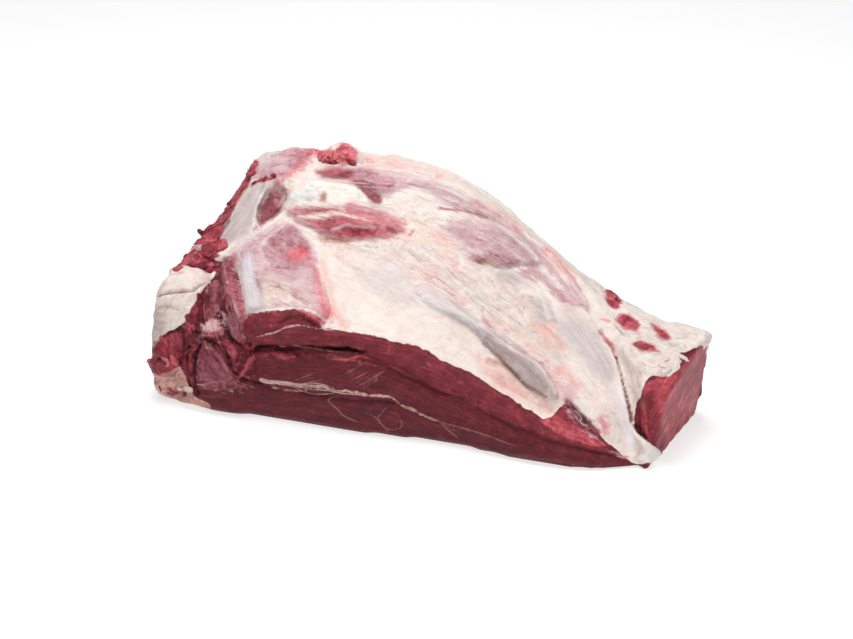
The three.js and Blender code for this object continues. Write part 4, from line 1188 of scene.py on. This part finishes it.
def meat_material():
    """Lean, fat, silverskin, tendon and raw meat, each with its own grain, told apart by the mesh's fields."""
    r = Recipe("clod_tissues")
    place = r.stretched(r.node("TexCoord").outputs["Object"], (1000.0, 1000.0, 1000.0))
    flow = r.vector_field("flow")
    tones = {kind: r.field(tone_of(kind)) for kind in LAYERS}
    web = r.field("web")
    whole = r.math("SUBTRACT", 1.0, r.step(r.field("seam"), 0.15, 0.95))

    def streaks(along, size, detail, roughness, distortion):
        """Noise drawn out along the fibres, with a slanted one in its place where the fibre lines change."""
        value = r.noise(r.stretched(flow, (along, 1.0, 1.0)), size, detail, roughness, distortion)
        aside = r.noise(r.stretched(place, (0.35, 1.0, 0.6)), size, detail, roughness, distortion)
        return r.add((value, whole), (aside, r.math("SUBTRACT", 1.0, whole)))

    fibres = streaks(0.09, 2.4, 4.0, 0.6, 0.4)
    wide_fibres = streaks(0.07, 7.0, 3.0, 0.5, 0.6)
    wisps = streaks(0.2, 6.0, 5.0, 0.66, 1.4)
    fine = r.noise(place, 1.3, 3.0, 0.6)
    small = r.noise(place, 3.5, 4.0, 0.6)
    medium = r.noise(place, 9.0, 4.0, 0.55)
    large = r.noise(place, 26.0, 3.0, 0.5)

    def tissue(name, edge, grainy, streaky):
        """1 inside the tissue, with an edge that wanders in grains and along the fibres."""
        wander = r.add((small, grainy), (fibres, streaky), (wisps, streaky))
        return r.step(r.add(r.field(name), wander), -edge, edge)

    # How much of each tissue shows.
    fat_share = tissue(FAT, 0.5, 0.6, 0.25)
    skin_share = tissue(SKIN, 1.4, 0.8, 1.5)
    tendon_share = tissue(TENDON, 2.0, 0.5, 1.3)
    raw_share = r.times(tissue(RAW, 1.0, 1.5, 0.5), r.linear(r.step(r.field(RAW), 0.0, 2.2), 0.45, 0.55))

    # Lean, with thin veins and pale flecks.
    lean_grain = r.add((small, 0.12), (fibres, 0.24), (medium, 0.18), (fine, 0.1))
    lean_tone = r.add(tones[LEAN], (lean_grain, r.linear(r.step(tones[LEAN], 0.5, 0.9), 0.5, 1.0)))
    lean = r.ramp(lean_tone, LEAN_TONES)
    veins = r.math("ABSOLUTE", r.noise(r.stretched(flow, (0.35, 1.0, 1.0)), 15.0, 4.0, 0.6, 0.5))
    vein_share = r.times(r.step(veins, 0.035, 0.0), r.times(whole, r.step(large, 0.25, 0.9)))
    lean = r.mix(r.times(vein_share, 0.35), lean, colour(186, 130, 126))
    flecks = r.noise(r.stretched(flow, (0.5, 1.0, 1.0)), 2.6, 2.0, 0.6)
    fleck_share = r.times(r.step(r.add(flecks, (medium, 0.5)), 0.75, 1.3), whole)
    lean = r.mix(r.times(fleck_share, 0.18), lean, colour(190, 112, 116))

    # Silverskin over muscle, with a pale film on it.
    streaky = r.times(r.add((fibres, 0.5), (wide_fibres, 0.4)), r.linear(web, 0.6, 0.15))
    skin_tone = r.add(tones[SKIN], streaky, (fine, 0.08), (small, 0.28), (medium, 0.22), (large, 0.14))
    skin = r.ramp(skin_tone, SKIN_TONES)
    film = r.step(r.add(wide_fibres, (wisps, 0.8), (tones[SKIN], 0.6)), 0.45, 1.4)
    skin = r.mix(r.times(film, 0.6), skin, colour(230, 214, 212))

    # Fat, blotched where it is webbed, with red specks, and painted shade along fine folds.
    blotches = r.add((fine, 0.12), (small, 0.35), (medium, 0.3), (large, 0.2), (wisps, 0.45))
    uneven = r.math("MAXIMUM", r.times(blotches, r.add(web, 0.3)), -0.28)
    fat = r.ramp(r.add(tones[FAT], uneven), FAT_TONES)
    specks = r.step(r.add(r.noise(place, 5.0, 5.0, 0.68), (large, 0.5)), 0.95, 1.7)
    fat = r.mix(r.times(specks, r.linear(web, 0.45, 0.045)), fat, colour(216, 132, 134))
    # The fine folds are only darker pink lines: painted shade in creases that the mesh doesn't have.
    folds = r.math("ABSOLUTE", r.noise(r.stretched(flow, (0.16, 1.0, 1.0)), 9.0, 5.0, 0.62, 1.0))
    fold_shade = r.times(r.step(folds, 0.12, 0.0), r.times(web, r.times(whole, r.step(medium, -0.2, 0.8))))
    fat = r.mix(r.times(fold_shade, 0.15), fat, colour(218, 184, 176))

    # Tendon and raw torn meat.
    tendon_tone = r.add(tones[TENDON], (fibres, 0.3), (wide_fibres, 0.3), (medium, 0.12))
    tendon = r.ramp(tendon_tone, TENDON_TONES)
    raw = r.ramp(r.add(tones[RAW], (small, 0.35), (fine, 0.12), (medium, 0.35)), RAW_TONES)

    # The layers over each other, then the threads and the flush.
    shade = lean
    for share, layer in ((fat_share, fat), (skin_share, skin), (tendon_share, tendon), (raw_share, raw)):
        shade = r.mix(share, shade, layer)

    thread = r.node("SeparateXYZ", {0: r.vector_field("thread")}).outputs
    distance = r.math("ABSOLUTE", r.add(thread[0], (small, 0.35)))
    thread_share = r.step(r.math("SUBTRACT", distance, thread[1]), 0.7, -0.3)
    thread_share = r.times(thread_share, r.times(r.step(thread[1], 0.05, 0.4), r.step(medium, -0.9, 0.3)))
    shade = r.mix(r.times(thread_share, 0.36), shade, colour(186, 132, 126))
    flush = r.times(r.add((wisps, 0.5), (large, 0.35)), web)
    shade = r.mix(1.0, shade, r.ramp(r.add(r.field("warm"), flush), WARMTH), "MULTIPLY")

    # Bumps that are too fine for the mesh.
    smooth_fat = r.times(r.step(r.field(FAT), -3.0, 3.0), r.math("SUBTRACT", 1.0, web))
    grain = r.add((fibres, 0.4), (small, 0.5), (fine, 0.2))
    height = r.add((grain, r.linear(smooth_fat, -0.65, 1.0)), (r.times(web, wisps), 0.8))
    bump = r.node("Bump", {"Height": height, "Strength": 0.8, "Distance": 0.001})
    gloss = r.add((small, 0.05), (fat_share, 0.08))
    return r.finished({
        "Base Color": shade,
        "Roughness": r.math("ADD", gloss, 0.42),
        "Normal": bump.outputs[0],
        "Subsurface Weight": 0.12,
        "Subsurface Radius": (0.006, 0.0022, 0.0016),
        "Subsurface Scale": 1.0,
        "Specular IOR Level": r.linear(r.math("MAXIMUM", fat_share, raw_share), 0.1, 0.18),
    })


# ---- The stage ----


def plain_material(name, shade, glow):
    return Recipe(name).finished({
        "Base Color": (shade, shade, shade, 1.0),
        "Roughness": 1.0,
        "Specular IOR Level": 0.0,
        "Emission Strength": glow,
        "Emission Color": (1.0, 1.0, 1.0, 1.0),
    })


def add_floor(shade, glow):
    mesh = bpy.data.meshes.new("floor")
    with edited(mesh) as edit:
        bmesh.ops.create_grid(edit, x_segments=1, y_segments=1, size=12.0)
    mesh.materials.append(plain_material("floor_white", shade, glow))
    floor = link("floor", mesh)


def add_light(name, place, target, size, power):
    """A round soft light that points at the target."""
    data = bpy.data.lights.new(name, "AREA")
    data.shape = "DISK"
    data.size = size
    data.energy = power
    lamp = link(name, data)
    lamp.location = place
    lamp.rotation_euler = (Vector(target) - Vector(place)).to_track_quat("-Z", "Y").to_euler()


def add_sky(strength):
    """Even white light from all round."""
    world = bpy.data.worlds.new("studio")
    world.use_nodes = True
    background = world.node_tree.nodes["Background"]
    background.inputs["Color"].default_value = (1.0, 1.0, 1.0, 1.0)
    background.inputs["Strength"].default_value = strength
    bpy.context.scene.world = world


def add_camera():
    """A camera that sees what the marks were drawn in."""
    data = bpy.data.cameras.new("camera")
    data.lens = VIEW_LENS
    data.sensor_width = SENSOR
    camera = link("camera", data)
    turn = Matrix([VIEW_RIGHT, VIEW_UP, VIEW_BACK]).transposed().to_4x4()
    camera.matrix_world = Matrix.Translation(Vector(EYE * MM)) @ turn
    bpy.context.scene.camera = camera


# ---- Settings ----


class ClodShapeSettings(bpy.types.PropertyGroup):
    spacing: bpy.props.FloatProperty(
        name="Surface Spacing", description="Distance between the points of the body's surface where it is seen",
        default=0.001522, min=0.001, max=0.01, subtype="DISTANCE", unit="LENGTH")
    rounds: bpy.props.IntProperty(
        name="Smoothing Rounds", description="How often the solid's facets are evened out", default=12, min=0, max=60)
    relief: bpy.props.FloatProperty(
        name="Relief", description="Share of the full height of muscles, seams and lumps", default=1.0, min=0.0,
        max=2.0, subtype="FACTOR")
    seed: bpy.props.IntProperty(
        name="Seed", description="Which of many arrangements of lumps and strands is made", default=5, min=0)


class ClodStageSettings(bpy.types.PropertyGroup):
    floor_shade: bpy.props.FloatProperty(
        name="Floor Shade", description="How pale the floor is", default=0.5, min=0.0, max=1.0, subtype="FACTOR")
    floor_glow: bpy.props.FloatProperty(
        name="Floor Glow", description="Light added to the floor to keep it white", default=0.62, min=0.0, max=2.0)
    top_light: bpy.props.FloatProperty(
        name="Top Light", description="Power of the large light over the meat", default=18.0, min=0.0, max=500.0,
        unit="POWER")
    front_light: bpy.props.FloatProperty(
        name="Front Light", description="Power of the light on the cut face", default=11.0, min=0.0, max=500.0,
        unit="POWER")
    sky: bpy.props.FloatProperty(
        name="Sky", description="Strength of the even light from all round", default=0.28, min=0.0, max=5.0)


# ---- Operators ----


def dress(piece):
    """Gives a piece its finish and its place in the frame."""
    piece.data.materials.clear()
    piece.data.materials.append(bpy.data.materials.get("clod_tissues") or meat_material())
    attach(piece, "root")
    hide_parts("shoulder_clod")


class BEEF_OT_body(bpy.types.Operator):
    """Make the body of the clod from its solid"""

    bl_idname = "beef.body"
    bl_label = "Clod Body"

    def execute(self, context):
        shape = context.scene.clod_shape
        piece = even_surface(frame["nodes"]["shoulder_clod"], shape.spacing / MM, shape.rounds)
        dress_surface(piece.data, shape.relief)
        dress(piece)
        return {"FINISHED"}


class BEEF_OT_lumps(bpy.types.Operator):
    """Add the torn lumps of meat and fat to the body"""

    bl_idname = "beef.lumps"
    bl_label = "Torn Lumps"

    def execute(self, context):
        dress(add_lumps(bpy.data.objects["clod_body"], TORN_LUMPS, context.scene.clod_shape.seed))
        return {"FINISHED"}


class BEEF_OT_strands(bpy.types.Operator):
    """Lay the thin strands on the body"""

    bl_idname = "beef.strands"
    bl_label = "Strands"

    def execute(self, context):
        dress(add_strands(bpy.data.objects["clod_body"], STRANDS, context.scene.clod_shape.seed + 1))
        return {"FINISHED"}


class BEEF_OT_stage(bpy.types.Operator):
    """Add the floor, the soft lights and the camera"""

    bl_idname = "beef.stage"
    bl_label = "Stage"

    def execute(self, context):
        stage = context.scene.clod_stage
        add_floor(stage.floor_shade, stage.floor_glow)
        middle = (0.0, 0.0, 0.05)
        add_light("top_light", (-0.12, 0.0, 1.4), middle, 0.9, stage.top_light)
        add_light("front_light", (0.6, -1.6, 0.9), middle, 1.2, stage.front_light)
        add_sky(stage.sky)
        add_camera()
        context.scene.view_settings.view_transform = "Standard"
        return {"FINISHED"}


class BEEF_PT_panel(bpy.types.Panel):
    """Buttons for each piece of the clod and its stage"""

    bl_idname = "BEEF_PT_panel"
    bl_label = "Beef Clod"
    bl_space_type = "VIEW_3D"
    bl_region_type = "UI"
    bl_category = "Beef Clod"

    def draw(self, context):
        column = self.layout.column()
        for name in ClodShapeSettings.__annotations__:
            column.prop(context.scene.clod_shape, name)
        for item in (BEEF_OT_body, BEEF_OT_lumps, BEEF_OT_strands):
            column.operator(item.bl_idname)
        for name in ClodStageSettings.__annotations__:
            column.prop(context.scene.clod_stage, name)
        column.operator(BEEF_OT_stage.bl_idname)


CLASSES = (ClodShapeSettings, ClodStageSettings, BEEF_OT_body, BEEF_OT_lumps, BEEF_OT_strands,
           BEEF_OT_stage, BEEF_PT_panel)


def register():
    for item in CLASSES:
        bpy.utils.register_class(item)
    bpy.types.Scene.clod_shape = bpy.props.PointerProperty(type=ClodShapeSettings)
    bpy.types.Scene.clod_stage = bpy.props.PointerProperty(type=ClodStageSettings)


def unregister():
    del bpy.types.Scene.clod_stage
    del bpy.types.Scene.clod_shape
    for item in reversed(CLASSES):
        bpy.utils.unregister_class(item)


def box_of(pieces):
    """The box round some pieces, as two lists in metres."""
    corners = np.vstack([places_of(piece.data) for piece in pieces]) * MM
    return [corners.min(0).tolist(), corners.max(0).tolist()]


def main():
    register()
    bpy.ops.beef.body()
    bpy.ops.beef.lumps()
    bpy.ops.beef.strands()
    bpy.ops.beef.stage()
    shown = [piece for piece in bpy.data.objects if piece.name.startswith("clod_")]
    sizes = {"solid": [list(corner) for corner in SOLID_BOX], "dressed": box_of(shown)}


if __name__ == "__main__":
    main()
